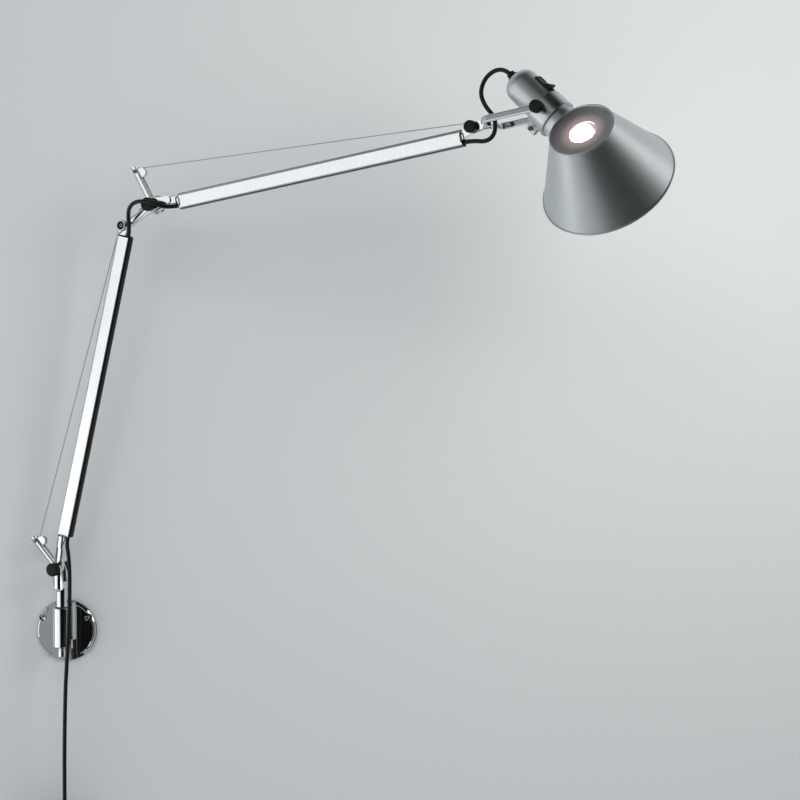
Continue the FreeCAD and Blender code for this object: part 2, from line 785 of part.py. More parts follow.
def wrist_knob():
    return knob(wrist_knob_radius, wrist_knob_length, roller_axle_radius + running, wrist_ear_outer + gap)


def fork_bow():
    """A bar of rounded section bent into a U that is open towards the head."""
    half = fork_inner_half + fork_bar / 2
    back = fork_bridge_place
    bend = fork_corner
    slack = bend * (1 - math.sqrt(0.5))
    path = Part.Wire([
        Part.makeLine(V(head_pivot_place, -half, 0), V(back + bend, -half, 0)),
        Part.Arc(V(back + bend, -half, 0), V(back + slack, -half + slack, 0), V(back, -half + bend, 0)).toShape(),
        Part.makeLine(V(back, -half + bend, 0), V(back, half - bend, 0)),
        Part.Arc(V(back, half - bend, 0), V(back + slack, half - slack, 0), V(back + bend, half, 0)).toShape(),
        Part.makeLine(V(back + bend, half, 0), V(head_pivot_place, half, 0)),
    ])
    end = rounded_bar(0, 1, fork_bar / 2, fork_bar_width / 2, fork_bar_edge)
    face = [f for f in end.Faces if f.BoundBox.XLength < running and f.CenterOfMass.x < 0.5][0]
    section = face.OuterWire.translated(V(head_pivot_place, -half, 0))
    return path.makePipeShell([section], True, False)


def fork():
    shape = fork_bow()
    for y0 in (-fork_inner_half - fork_bar, fork_inner_half):
        shape = shape.fuse(pin(head_pivot_place, 0, fork_eye_radius, y0, y0 + fork_bar))
    pin_start = wrist_boss_start + 1.9
    swivel = cylinder(V(pin_start, 0, 0), V(1, 0, 0), fork_pin_radius, fork_bridge_place - pin_start)
    groove = Part.makeTorus(fork_pin_radius + 0.6, 1.6, V(wrist_screw_place, 0, 0), V(1, 0, 0))
    hub_start = wrist_boss_start + wrist_boss_length + gap
    hub = cylinder(V(hub_start, 0, 0), V(1, 0, 0), wrist_boss_radius,
                   fork_bridge_place - hub_start)
    shape = shape.fuse(swivel.cut(groove)).fuse(hub)
    return shape.cut(pin(head_pivot_place, 0, head_bolt_radius + running, -60, 60))


# ---------------------------------------------------------------- lamp head
def x_revolve(points):
    """Turns an outline, drawn with radius as y, round the head's axis."""
    return revolve(points, V(0, 0, 0), V(1, 0, 0))


def housing():
    """The can: a domed back, a straight barrel and a stepped front on which the shade turns."""
    front = collar_front + 8.5
    dome = housing_dome
    tail = housing_back
    bend = dome * (1 - math.sqrt(0.5))
    shell = x_revolve([
        V(tail, 0, 0), V(tail, housing_radius - dome, 0),
        (V(tail + bend, housing_radius - bend, 0), V(tail + dome, housing_radius, 0)),
        V(collar_front, housing_radius, 0), V(collar_front, neck_bearing_radius, 0),
        V(front, neck_bearing_radius, 0), V(front, 0, 0),
    ])
    inner = housing_radius - housing_wall
    inner_dome = dome - housing_wall
    inner_bend = inner_dome * (1 - math.sqrt(0.5))
    start = tail + housing_wall
    room = x_revolve([
        V(start, 0, 0), V(start, inner - inner_dome, 0),
        (V(start + inner_bend, inner - inner_bend, 0), V(start + inner_dome, inner, 0)),
        V(collar_front - 4, inner, 0), V(collar_front - 4, holder_radius, 0), V(front + 1, holder_radius, 0),
        V(front + 1, 0, 0),
    ])
    cable_hole = cylinder(V(tail - 1, 0, 0), V(1, 0, 0), cord_radius + gap, 10)
    half = switch_length / 2 - rocker_margin
    opening = box(switch_centre - half, switch_centre + half, -switch_width / 2 + rocker_margin,
                  switch_width / 2 - rocker_margin, 0, 2 * housing_radius)
    opening.rotate(V(0, 0, 0), V(1, 0, 0), switch_side_turn)
    return shell.cut(room).cut(cable_hole).cut(opening)


def cable_gland():
    tail = housing_back
    base = cylinder(V(tail - 3.2, 0, 0), V(1, 0, 0), 7.6, 3.2)
    sleeve = cylinder(V(tail - 8.6, 0, 0), V(1, 0, 0), 5.4, 5.6)
    bore = cylinder(V(tail - 20, 0, 0), V(1, 0, 0), cord_radius + 0.1, 30)
    return base.fuse(sleeve).cut(bore)


def collar():
    """The clamp band that grips the housing: two pivot bosses, and ears drawn together by a screw."""
    grip = housing_radius + seat
    lip = collar_radius + 0.7
    ring = x_revolve([
        V(collar_back, grip, 0), V(collar_back, collar_radius - 0.6, 0), V(collar_back + 0.6, collar_radius, 0),
        V(collar_front - 2.2, collar_radius, 0), V(collar_front - 1.6, lip, 0), V(collar_front, lip, 0),
        V(collar_front, grip, 0),
    ])
    boss_end = fork_inner_half - gap
    bosses = pin(0, 0, 7.0, -boss_end, boss_end)
    ears = box(-clamp_half, clamp_half, -4.6, 4.6, -clamp_drop, -collar_radius + 2.0)
    curl = cylinder(V(-clamp_half, 0, -clamp_drop), V(1, 0, 0), 4.6, 2 * clamp_half)
    shape = ring.fuse([bosses, ears, curl])
    shape = shape.cut(cylinder(V(collar_back - 5, 0, 0), V(1, 0, 0), grip, 60))
    shape = shape.cut(box(collar_back - 1, collar_front + 1, -1.2, 1.2, -60, 0))
    shape = shape.cut(pin(0, 0, head_bolt_radius + running, -60, -collar_radius + 0.8))
    shape = shape.cut(pin(0, 0, head_bolt_radius + running, collar_radius - 0.8, 60))
    return shape.cut(pin(0, -clamp_drop, clamp_screw_radius, -20, 20))


def clamp_screw():
    z = -clamp_drop
    shank = pin(0, z, clamp_screw_radius, -4.6, 4.6)
    head = pin(0, z, 3.0, -6.4, -4.6)
    nut = pin(0, z, 3.0, 4.6, 6.2)
    return shank.fuse(head).fuse(nut)


def head_knob(side):
    """A thumb knob with its own screw, which is the tilt pivot and threads into the collar."""
    start = fork_inner_half + fork_bar + gap
    screw = pin(0, 0, head_bolt_radius, -start - 3, -collar_radius - 0.2)
    shape = knob_body(head_knob_radius, knob_length - 1.0, start).fuse(screw)
    return shape if side < 0 else turned_round(shape)


def switch_bezel():
    half = switch_length / 2
    frame = box(switch_centre - half, switch_centre + half, -switch_width / 2, switch_width / 2,
                housing_radius - 2.2, housing_radius + 1.2)
    inner = box(switch_centre - half + rocker_margin, switch_centre + half - rocker_margin,
                -switch_width / 2 + rocker_margin, switch_width / 2 - rocker_margin, 0, 60)
    barrel_room = cylinder(V(housing_back, 0, 0), V(1, 0, 0), housing_radius, 90)
    return frame.cut(barrel_room).cut(inner)


def switch_rocker():
    """A rocker with a raised end, which turns about the middle of its bezel."""
    half = switch_length / 2 - rocker_margin - rocker_gap
    width = switch_width / 2 - rocker_margin - gap
    base = -rocker_depth
    side = [
        V(-half + 1.0, -width, base), V(half - 1.0, -width, base), V(half, -width, rocker_rise + 1.2),
        V(half - 3.0, -width, rocker_rise + 1.0),
        (V(2.0, -width, 3.6), V(-half, -width, 2.0)),
    ]
    return outline(side).extrude(V(0, 2 * width, 0))


def lamp_holder():
    """The bulb's socket, held in the housing's front bore."""
    outer = holder_radius - seat
    front = collar_front - 0.5
    return x_revolve([
        V(holder_back, 9.0, 0), V(holder_back, holder_tail_radius, 0), V(holder_step, holder_tail_radius, 0),
        V(holder_step + 0.5, outer, 0), V(front, outer, 0), V(front, holder_bore, 0),
        V(holder_step + 1.6, holder_bore, 0), V(holder_step + 1.6, 9.0, 0),
    ])


def bulb_cap():
    """The bulb's metal base: a thin threaded cup with its end contact."""
    wall = 0.8
    return x_revolve([
        V(-9.4, 0, 0), V(-9.4, 4.6, 0), V(-7.5, 5.0, 0), V(-5.5, 12.6, 0), V(15.5, 13.2, 0),
        V(bulb_cap_end, 13.2, 0), V(bulb_cap_end, 13.2 - wall, 0), V(15.5, 13.2 - wall, 0),
        V(-4.7, 12.6 - wall, 0), V(-6.5, 4.2, 0), V(-8.6, 3.8, 0), V(-8.6, 0, 0),
    ])


def bulb_outline(inset):
    """Half the section of the bulb's glass: a neck that swells into a globe."""
    start = math.atan2(17.0, -14.8)
    middle = start / 2
    radius = bulb_radius - inset
    return [
        V(bulb_cap_end, 0, 0), V(bulb_cap_end, 13.0 - inset, 0), V(26.0, 13.0 - inset, 0),
        (V(34.6, 14.1 - inset, 0), V(bulb_centre + radius * math.cos(start), radius * math.sin(start), 0)),
        (V(bulb_centre + radius * math.cos(middle), radius * math.sin(middle), 0),
         V(bulb_centre + radius, 0, 0)),
    ]


def bulb_glass():
    return x_revolve(bulb_outline(0)).cut(x_revolve(bulb_outline(bulb_wall)))


# ---------------------------------------------------------------- shade
def shade_upright():
    """The shade's own frame: z up its axis, the origin at the centre of its top ring."""
    slope = math.radians(shade_slope)
    crossing = V(shade_axis_reach, 0, 0)
    up = V(-math.sin(slope), 0, math.cos(slope))
    return FreeCAD.Placement(crossing + up * shade_axis_depth, FreeCAD.Rotation(V(0, 1, 0), -shade_slope))


def cone_solid(inset):
    lean = inset / math.cos(math.radians(shade_slope))
    return Part.makeCone(shade_radius - lean, shade_top_radius - lean, shade_height, V(0, 0, -shade_height),
                         V(0, 0, 1))


def neck_cylinder(radius, back, front):
    """A cylinder on the neck's axis, given in the shade's own upright frame."""
    local = cylinder(V(back, 0, 0), V(1, 0, 0), radius, front - back)
    return placed(local, shade_upright().inverse())


def shade_cone():
    wall = cone_solid(0).cut(cone_solid(shade_wall))
    rim = Part.makeTorus(shade_radius, bead_radius, V(0, 0, -shade_height), V(0, 0, 1))
    top = Part.makeTorus(shade_top_radius, bead_radius, V(0, 0, 0), V(0, 0, 1))
    shape = wall.fuse(rim).fuse(top)
    opening = neck_cylinder(neck_bearing_radius + running, collar_front, shade_axis_reach)
    return placed(shape.cut(opening), shade_upright())


def neck_ring():
    outer = neck_cylinder(neck_bearing_radius + neck_wall, collar_front + gap, shade_axis_reach)
    bore = neck_cylinder(neck_bearing_radius + running, collar_front - 1, shade_axis_reach + 1)
    return placed(outer.cut(bore).cut(cone_solid(0)), shade_upright())


def shade_top_disc():
    disc = cylinder(V(0, 0, -top_disc_recess - top_disc_thickness), V(0, 0, 1), shade_top_radius + 5,
                    top_disc_thickness)
    hole = cylinder(V(0, 0, -20), V(0, 0, 1), top_hole_radius, 30)
    return placed(disc.cut(hole).common(cone_solid(shade_wall)), shade_upright())


def shade_handle():
    """A hairpin of thin wire: two legs that draw together to a round end below the rim."""
    top = -handle_top_depth
    bend = -shade_height - handle_below_rim + handle_taper
    tip = -shade_height - handle_below_rim + handle_tip_spread
    x = -handle_offset
    edges = [
        Part.LineSegment(V(x, handle_spread, top), V(x, handle_spread, bend)).toShape(),
        Part.LineSegment(V(x, handle_spread, bend), V(x, handle_tip_spread, tip)).toShape(),
        Part.Arc(V(x, handle_tip_spread, tip), V(x, 0, tip - handle_tip_spread), V(x, -handle_tip_spread, tip)).toShape(),
        Part.LineSegment(V(x, -handle_tip_spread, tip), V(x, -handle_spread, bend)).toShape(),
        Part.LineSegment(V(x, -handle_spread, bend), V(x, -handle_spread, top)).toShape(),
    ]
    solids = []
    for edge in edges:
        start = edge.valueAt(edge.FirstParameter)
        tangent = edge.tangentAt(edge.FirstParameter)
        section = Part.Wire(Part.Circle(start, tangent, handle_wire_radius).toShape())
        solids.append(Part.Wire([edge]).makePipeShell([section], True, False))
    for corner in (edges[1], edges[3]):
        for end in (corner.FirstParameter, corner.LastParameter):
            solids.append(Part.makeSphere(handle_wire_radius, corner.valueAt(end)))
    return placed(solids[0].fuse(solids[1:] + [handle_clip()]), shade_upright())


def handle_clip():
    """The small plate on the shade's inner wall into which the hairpin's legs are fixed."""
    top = handle_wire_radius - handle_top_depth
    block = box(-shade_radius, -handle_offset + 2 * handle_wire_radius, -handle_clip_half, handle_clip_half,
                top - handle_clip_length, top)
    return block.common(cone_solid(shade_wall))


# ---------------------------------------------------------------- cords
def helix_point(angle, centre):
    """A point of the coil and its direction; the coil's axis lies along y and it starts going down."""
    rise = coil_pitch / (2 * math.pi)
    place = centre + V(coil_radius * math.cos(angle), rise * angle, -coil_radius * math.sin(angle))
    direction = V(-coil_radius * math.sin(angle), rise, -coil_radius * math.cos(angle))
    return place, direction.normalize()


def biarc(start, start_direction, end, end_direction):
    """Two arcs that join two points along their given directions."""
    span = end - start
    spread = 2 * (1 - start_direction.dot(end_direction))
    reach = span.dot(start_direction + end_direction)
    length = (-reach + math.sqrt(reach ** 2 + spread * span.dot(span))) / spread
    first = start + start_direction * length
    second = end - end_direction * length
    joint = (first + second) * 0.5
    return [arc_between(start, first, joint), arc_between(joint, second, end)]


def cord_coil():
    """The put-away length, wound in one layer, with a straight lead-in and a straight tail for the plug."""
    entry = hanging_route[-1]
    place, direction = helix_point(0, V(0, 0, 0))
    start = entry + direction * coil_lead
    centre = start - place
    edges = [Part.LineSegment(entry, start).toShape()]
    place = start
    for quarter in range(4 * coil_turns):
        following, next_direction = helix_point(math.pi / 2 * (quarter + 1), centre)
        edges.extend(biarc(place, direction, following, next_direction))
        place = following
        direction = next_direction
    end = place + direction * coil_tail
    edges.append(Part.LineSegment(place, end).toShape())
    path = Part.Wire(edges)
    report_least_gap(centre)
    return pipe(path, cord_radius, "cord_coil"), end, direction


def report_least_gap(centre):
    """Prints the smallest clear distance between the coil's turns, measured on points."""
    steps = 72
    points = [helix_point(2 * math.pi * index / steps, centre)[0] for index in range(steps * coil_turns)]
    half_turn = steps // 2
    least = min((a - b).Length for i, a in enumerate(points) for b in points[i + half_turn:])
    print("cord_coil least gap to itself", round(least - 2 * cord_radius, 2))


def plug(top, direction):
    """A flat two-pin plug that hangs from the end of the cord."""
    half = plug_width / 2
    neck = 4.6
    shoulder = 12.0
    side = [
        V(-neck, 0, 0), V(neck, 0, 0), V(neck + 1.2, 0, -shoulder), V(half, 0, -plug_height + 8.0),
        V(half, 0, -plug_height), V(-half, 0, -plug_height), V(-half, 0, -plug_height + 8.0),
        V(-neck - 1.2, 0, -shoulder),
    ]
    body = outline(side).extrude(V(0, plug_thickness, 0)).translated(V(0, -plug_thickness / 2, 0))
    edges = [e for e in body.Edges if e.BoundBox.YLength < 0.1 and e.BoundBox.ZLength < 40]
    body = body.makeFillet(1.6, edges)
    body = body.cut(cylinder(V(0, 0, 1), V(0, 0, -1), cord_radius + seat, plug_bore_depth + 1))
    for x in (-plug_pin_half_spacing, plug_pin_half_spacing):
        shank = cylinder(V(x, 0, -plug_height + 1), V(0, 0, -1), plug_pin_radius, plug_pin_length)
        body = body.fuse(shank.fuse(Part.makeSphere(plug_pin_radius, V(x, 0, -plug_height + 1 - plug_pin_length))))
    turn = FreeCAD.Rotation(V(0, 0, -1), direction)
    return placed(body, FreeCAD.Placement(top - direction * plug_bore_depth, turn))


def tube_cord(x0, x1, drop):
    """The stretch of cord that lies inside a tube, opposite the spring."""
    return cylinder(V(x0, -cord_forward, cord_place - drop), V(1, 0, 0), cord_radius, x1 - x0)


# ---------------------------------------------------------------- routes of the cord, chosen by hand
def along(frame, origin, points):
    """Route points given from a place in a frame, turned into the lamp's own coordinates."""
    return [frame.multVec(V(*origin) + V(*p)) for p in points]


lane = (-cord_forward, cord_place)
upper_lane = (-cord_forward, cord_place - upper_tube_drop)
pivot_place = (base_pivot_x, 0, base_pivot_z)
base_route = along(lower_frame, (lower_tube_start, 0, 0), [
    (-cord_beyond_tube - cord_joint, *lane), (-10.6, *lane), (-23.8, -1.7, -12.2),
])
base_route += along(stem_frame, pivot_place, [(20.3, -2.5, -1.5), (20.8, -3.4, -36.5)])
base_route += along(world_frame, (0, 0, 0), [(11.6, -59.4, 8.0), (9.0, -62.6, -42.0), (7.6, -63.9, -69.5)])
hanging_route = along(world_frame, (0, 0, 0), [
    (7.6, -63.9, -69.5), (6.8, -64.6, -97.0), (5.6, -64.8, -154.0), (5.2, -63.9, -212.0), (5.2, -62.0, -270.0),
])
elbow_route = along(lower_frame, (lower_tube_start + tube_length, 0, 0), [
    (-cord_in_tube_top + cord_joint, *lane), (3.1, *lane), (15.5, -7.9, -7.6), (35.3, -16.0, -6.7),
    (45.3, -21.0, -12.0), (52.3, -23.5, -20.5),
])
elbow_route += along(upper_frame, (upper_tube_start, 0, 0), [
    (-42.5, -24.5, 3.8), (-27.4, -21.4, -1.6), (-19.0, -12.5, -8.6), (-1.0, *upper_lane),
    (cord_in_tube_start - cord_joint, *upper_lane),
])
head_route = along(upper_frame, (upper_tube_start + tube_length, 0, 0), [
    (cord_beyond_tube + cord_joint, *upper_lane), (12.0, *upper_lane), (32.2, -0.8, -14.9),
])
head_route += along(fork_frame, (head_pivot_place, 0, 0), [
    (-73.7, 0.9, -13.2), (-71.0, 0.0, 6.6), (-82.6, -0.3, 22.5), (-87.2, -0.8, 40.7),
])
head_route += along(head_frame, (housing_back, 0, 0), [
    (-31.5, -1.3, -25.6), (-27.5, -0.9, -8.5), (-16.0, 0, 0), (-1.9, 0, 0),
])


# ---------------------------------------------------------------- assembly
lower_strut_frame = pitched(stem_frame, V(base_pivot_x, 0, base_pivot_z), 90 + strut_lean)
elbow_frame = nested(lower_frame, V(elbow_x, 0, -elbow_aside))
upper_strut_frame = pitched(lower_frame, V(elbow_x, 0, -elbow_aside), strut_lean)
lower_roller_frame = nested(lower_frame, V(lower_roller_x, 0, lower_roller_z))
base_pivot_frame = nested(stem_frame, V(base_pivot_x, 0, base_pivot_z))


def cord_nodes():
    base = cord_pieces(base_route, [3, 5], ["base_cord_upper", "base_cord_lower", "base_cord_end"])
    hanging = cord_pieces(hanging_route, [], ["hanging_cord"])
    elbow = cord_pieces(elbow_route, [], ["elbow_cord"])
    head = cord_pieces(head_route, [1, 3], ["wrist_cord", "fork_cord", "head_cord"])
    coil, end, direction = cord_coil()
    return {
        "base_cord_upper": base[0],
        "base_cord_lower": base[1],
        "hanging_cord": base[2].fuse(hanging[0]),
        "elbow_cord": elbow[0],
        "wrist_cord": head[0],
        "fork_cord": head[1],
        "head_cord": head[2],
        "cord_coil": coil,
        "plug": plug(end, direction),
    }


def wall_bracket_nodes():
    return {
        "back_plate": back_plate(),
        "cover_plate": cover_plate(),
        "barrel": barrel(),
        "barrel_bushes": barrel_bushes(),
    }


def stem_nodes():
    return {
        "stem": placed(stem(), stem_frame),
        "retaining_collar": placed(retaining_collar(), stem_frame),
        "lower_strut": placed(strut_plates(), lower_strut_frame),
        "lower_wire_anchor": placed(wire_anchor(), lower_strut_frame),
        "lower_strut_screw": placed(strut_screw(), lower_strut_frame),
        "base_bolt": placed(base_bolt(), base_pivot_frame),
        "base_knob": placed(base_knob(), base_pivot_frame),
    }


def lower_arm_nodes():
    wire_z = wire_level(lower_roller_z)
    anchor = anchor_lobe(lower_strut_frame, lower_frame)
    wire = tension_wire(anchor, V(lower_roller_x, 0, lower_roller_z), lower_tube_start, "lower_wire")
    cord_end = lower_tube_start + tube_length - cord_in_tube_top
    return {
        "lower_tube": placed(arm_tube(lower_tube_start, 0), lower_frame),
        "lower_bottom_fitting": placed(lower_bottom_fitting(), lower_frame),
        "lower_top_fitting": placed(lower_top_fitting(), lower_frame),
        "lower_spring": placed(balance_spring(lower_tube_start, wire_z), lower_frame),
        "lower_wire": placed(wire, lower_frame),
        "lower_tube_cord": placed(tube_cord(lower_tube_start - cord_beyond_tube, cord_end, 0), lower_frame),
        "lower_roller": placed(lower_roller(), lower_roller_frame),
        "upper_strut": placed(strut_plates(), upper_strut_frame),
        "upper_wire_anchor": placed(wire_anchor(), upper_strut_frame),
        "upper_strut_screw": placed(strut_screw(), upper_strut_frame),
        "elbow_bolt": placed(elbow_bolt(), elbow_frame),
        "elbow_washers": placed(elbow_washers(), elbow_frame),
        "elbow_knob": placed(elbow_knob(), elbow_frame),
    }


def upper_arm_nodes():
    wire_z = wire_level(upper_roller_z)
    anchor = anchor_lobe(upper_strut_frame, upper_frame)
    wire = tension_wire(anchor, V(upper_roller_x, 0, upper_roller_z), upper_tube_start, "upper_wire")
    cord_start = upper_tube_start + cord_in_tube_start
    cord_end = upper_tube_start + tube_length + cord_beyond_tube
    return {
        "upper_tube": placed(arm_tube(upper_tube_start, upper_tube_drop), upper_frame),
        "upper_elbow_fitting": placed(upper_elbow_fitting(), upper_frame),
        "upper_end_fitting": placed(upper_end_fitting(), upper_frame),
        "upper_spring": placed(balance_spring(upper_tube_start, wire_z), upper_frame),
        "upper_wire": placed(wire, upper_frame),
        "upper_tube_cord": placed(tube_cord(cord_start, cord_end, upper_tube_drop), upper_frame),
        "upper_roller": placed(upper_roller(), wrist_frame),
        "wrist_bolt": placed(wrist_bolt(), wrist_frame),
        "wrist_knob": placed(wrist_knob(), wrist_frame),
        "wrist_block": placed(wrist_block(), wrist_frame),
        "wrist_screw": placed(wrist_screw(), wrist_frame),
    }


def head_nodes():
    return {
        "fork": placed(fork(), fork_frame),
        "fork_knob_front": placed(head_knob(-1), head_frame),
        "fork_knob_rear": placed(head_knob(1), head_frame),
        "collar": placed(collar(), head_frame),
        "clamp_screw": placed(clamp_screw(), head_frame),
        "housing": placed(housing(), head_frame),
        "cable_gland": placed(cable_gland(), head_frame),
        "switch_bezel": placed(switch_bezel(), switch_frame),
        "switch_rocker": placed(switch_rocker(), rocker_frame),
        "lamp_holder": placed(lamp_holder(), head_frame),
        "bulb_cap": placed(bulb_cap(), head_frame),
        "bulb_glass": placed(bulb_glass(), head_frame),
        "shade": placed(shade_cone(), shade_frame),
        "neck_ring": placed(neck_ring(), shade_frame),
        "top_disc": placed(shade_top_disc(), shade_frame),
        "shade_handle": placed(shade_handle(), shade_frame),
    }


def report_joint(name, frame, axis):
    """Prints where a joint is and its axis, in metres."""
    place = [round(v / 1000, 6) for v in frame.Base]
    direction = [round(v, 6) for v in frame.Rotation.multVec(axis)]
    print("JOINT", name, place, direction)


def report_joints():
    across = V(0, -1, 0)
    along = V(1, 0, 0)
    report_joint("swivel", stem_frame, V(0, 0, 1))
    report_joint("lower_arm_pivot", base_pivot_frame, across)
    report_joint("elbow_pivot", elbow_frame, across)
    report_joint("lower_roller_spin", lower_roller_frame, across)
    report_joint("wrist_pivot", wrist_frame, across)
    report_joint("fork_swivel", fork_frame, along)
    report_joint("head_tilt", head_frame, across)
    report_joint("switch_rocker", rocker_frame, V(0, 1, 0))
    report_joint("shade_turn", head_frame, along)


def main():
    os.makedirs("parts", exist_ok=True)
    nodes = {}
    for make in (wall_bracket_nodes, stem_nodes, lower_arm_nodes, upper_arm_nodes, head_nodes, cord_nodes):
        nodes.update(make())
    for name, shape in nodes.items():
        shape.exportStep("parts/" + name + ".step")
        print(name, "solids", len(shape.Solids), "valid", shape.isValid(), "volume", round(shape.Volume, 1))
    print("nodes", len(nodes))
    report_joints()
    for name, route in (("base", base_route), ("elbow", elbow_route), ("head", head_route)):
        print("ROUTE", name, [tuple(round(v, 2) for v in p) for p in route])


main()
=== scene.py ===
# %% [markdown]
# # An articulating wall lamp, dressed in Blender
# The lamp's solids already exist: two balanced arms, a swivelling stem, a forked head and a conical
# shade. This script loads them as a fixed frame, in metres, with Z up and the wall at Y = 0, and gives
# them what a drawing can't: finishes, a lit bulb, flexible cable and the small trims.

import json
import math

import bmesh
import bpy
from mathutils import Matrix, Vector


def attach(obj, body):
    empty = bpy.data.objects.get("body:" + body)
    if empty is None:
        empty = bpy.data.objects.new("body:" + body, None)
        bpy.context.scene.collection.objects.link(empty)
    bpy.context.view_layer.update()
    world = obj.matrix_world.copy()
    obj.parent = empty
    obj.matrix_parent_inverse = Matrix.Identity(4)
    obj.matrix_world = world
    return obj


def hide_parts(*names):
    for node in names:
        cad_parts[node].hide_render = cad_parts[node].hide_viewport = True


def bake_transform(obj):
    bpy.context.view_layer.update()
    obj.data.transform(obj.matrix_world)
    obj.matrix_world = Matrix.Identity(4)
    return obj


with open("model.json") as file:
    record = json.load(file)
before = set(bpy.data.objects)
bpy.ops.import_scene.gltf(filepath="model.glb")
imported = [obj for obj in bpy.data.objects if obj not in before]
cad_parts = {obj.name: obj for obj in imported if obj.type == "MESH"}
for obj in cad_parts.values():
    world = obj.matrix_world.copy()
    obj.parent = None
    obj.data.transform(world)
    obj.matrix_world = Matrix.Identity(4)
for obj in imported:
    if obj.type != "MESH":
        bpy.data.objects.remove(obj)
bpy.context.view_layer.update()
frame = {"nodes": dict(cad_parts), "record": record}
nodes = frame["nodes"]

# %% [markdown]
# The camera stands three metres from the wall, higher than the plate, and looks slightly down. The
# sensor is 36 mm wide, so a lens of 99 mm gives the narrow view of a picture taken from far away, in
# which the upright lines stay nearly parallel. A tilt of 90 degrees would be level.

# %% Camera
camera_place = (0.47064, -3.090, 0.45929)
camera_tilt = 87.5
camera_data = bpy.data.cameras.new("camera")
camera_data.sensor_width = 36.0
camera_data.lens = 99.0
camera = bpy.data.objects.new("camera", camera_data)
bpy.context.scene.collection.objects.link(camera)
camera.location = camera_place
camera.rotation_euler = (math.radians(camera_tilt), 0, 0)
bpy.context.scene.camera = camera
print("camera at", camera_place)

# %% [markdown]
# The lamp's local frames. Everything on an arm is easiest to place along that arm, so the same
# turns that set up the joints are written here once: the stem is turned about the vertical, each arm
# is raised in its own plane, and the head hangs from the fork.

# %% Local frames of the lamp
def nested(parent, origin, axis="Y", degrees=0.0):
    return parent @ Matrix.Translation(origin) @ Matrix.Rotation(math.radians(degrees), 4, axis)


def pitched(parent, origin, degrees):
    return nested(parent, origin, "Y", -degrees)


stem_axis = (0, -0.046, 0)
stem_turn = -27
lower_pivot = (-0.0045, 0, 0.0915)
lower_raise = 76
elbow_pivot = (0.5252, 0, -0.0336)
upper_raise = -66.5
wrist_pivot = (0.4847, 0, 0.0067)
fork_turn = -4
head_pivot = (0.101, 0, 0)
head_raise = -52
shade_turn = 64.7
stem_frame = nested(Matrix.Identity(4), stem_axis, "Z", stem_turn)
lower_frame = pitched(stem_frame, lower_pivot, lower_raise)
upper_frame = pitched(lower_frame, elbow_pivot, upper_raise)
fork_frame = nested(upper_frame, wrist_pivot, "X", fork_turn)
head_frame = pitched(fork_frame, head_pivot, head_raise)
shade_frame = nested(head_frame, (0, 0, 0), "X", shade_turn)
print("head pivot", tuple(round(v, 4) for v in head_frame.translation))

# %% [markdown]
# Each arm has a strut that leans back from the arm's pivot and carries the wire. The shade is a cone
# that sits askew on the lamp's neck. So the hole in its top disc lies on the cone's own upright line,
# some way up from the line of the neck.

# %% Struts and the shade's hole
lower_strut_raise = 134
upper_strut_raise = 44
lower_strut_frame = pitched(stem_frame, lower_pivot, lower_strut_raise)
upper_strut_frame = pitched(lower_frame, elbow_pivot, upper_strut_raise)
shade_spread = 0.0443
shade_rise = 0.0930
shade_slope = math.atan(shade_spread / shade_rise)
shade_up = Vector((-math.sin(shade_slope), 0, math.cos(shade_slope)))
shade_foot = Vector((0.08899, 0, 0))
hole_height = 0.0494
shade_hole = shade_frame @ (shade_foot + shade_up * hole_height)
print("hole in the top disc", tuple(round(v, 4) for v in shade_hole))

# %% [markdown]
# The cable is one length of round flexible cord, but it crosses several joints, so it is made in
# stretches. Each route below is the list of points that the cord bends round, in metres. A NURBS line
# with those points as its control points gives the soft curve that a real cord takes.

# %% Routes of the cord, in metres
cord_radius = 0.0028
base_route = [
    (0.01043, -0.05300, 0.13560), (0.00860, -0.05207, 0.12736), (0.01120, -0.05361, 0.11300),
    (0.01294, -0.05540, 0.09000), (0.01298, -0.05643, 0.05500), (0.01160, -0.05940, 0.00800),
    (0.00900, -0.06260, -0.04200), (0.00760, -0.06390, -0.06950),
]
hanging_route = [
    (0.00760, -0.06390, -0.06950), (0.00680, -0.06460, -0.09700), (0.00560, -0.06480, -0.15400),
    (0.00520, -0.06390, -0.21200), (0.00520, -0.06200, -0.27000),
]
elbow_route = [
    (0.10058, -0.09893, 0.54138), (0.10295, -0.10014, 0.55205), (0.10427, -0.10800, 0.56365),
    (0.10409, -0.11699, 0.58308), (0.10855, -0.12488, 0.59150), (0.11628, -0.13162, 0.59624),
    (0.12745, -0.13843, 0.59688), (0.14292, -0.14284, 0.59405), (0.15537, -0.13919, 0.58853),
    (0.17631, -0.13752, 0.59062), (0.18809, -0.14352, 0.59283),
]
head_route = [
    (0.55164, -0.32876, 0.66111), (0.56034, -0.33319, 0.66274), (0.57921, -0.34202, 0.66075),
    (0.58914, -0.34621, 0.67103), (0.58882, -0.34550, 0.69102), (0.57665, -0.33839, 0.70477),
    (0.57029, -0.33428, 0.72195), (0.57639, -0.33661, 0.74049), (0.58973, -0.34238, 0.75035),
    (0.60270, -0.34828, 0.74880), (0.61160, -0.35369, 0.73930),
]
print("points", len(base_route), len(hanging_route), len(elbow_route), len(head_route))

# %% [markdown]
# The free end is put away in a neat coil, just below what the camera sees, and ends in its plug. Its
# turns are a helix about a level axis, which the cord enters going down, and a straight tail follows.

# %% Points of the coil
coil_radius = 0.031
coil_turns = 7
coil_pitch = 0.0064
coil_lead = 0.006
coil_tail = 0.042
coil_points_per_turn = 16
coil_rise = coil_pitch / (2 * math.pi)
coil_down = Vector((0, coil_rise, -coil_radius)).normalized()
coil_start = Vector(hanging_route[-1]) + coil_down * coil_lead
coil_centre = coil_start - Vector((coil_radius, 0, 0))


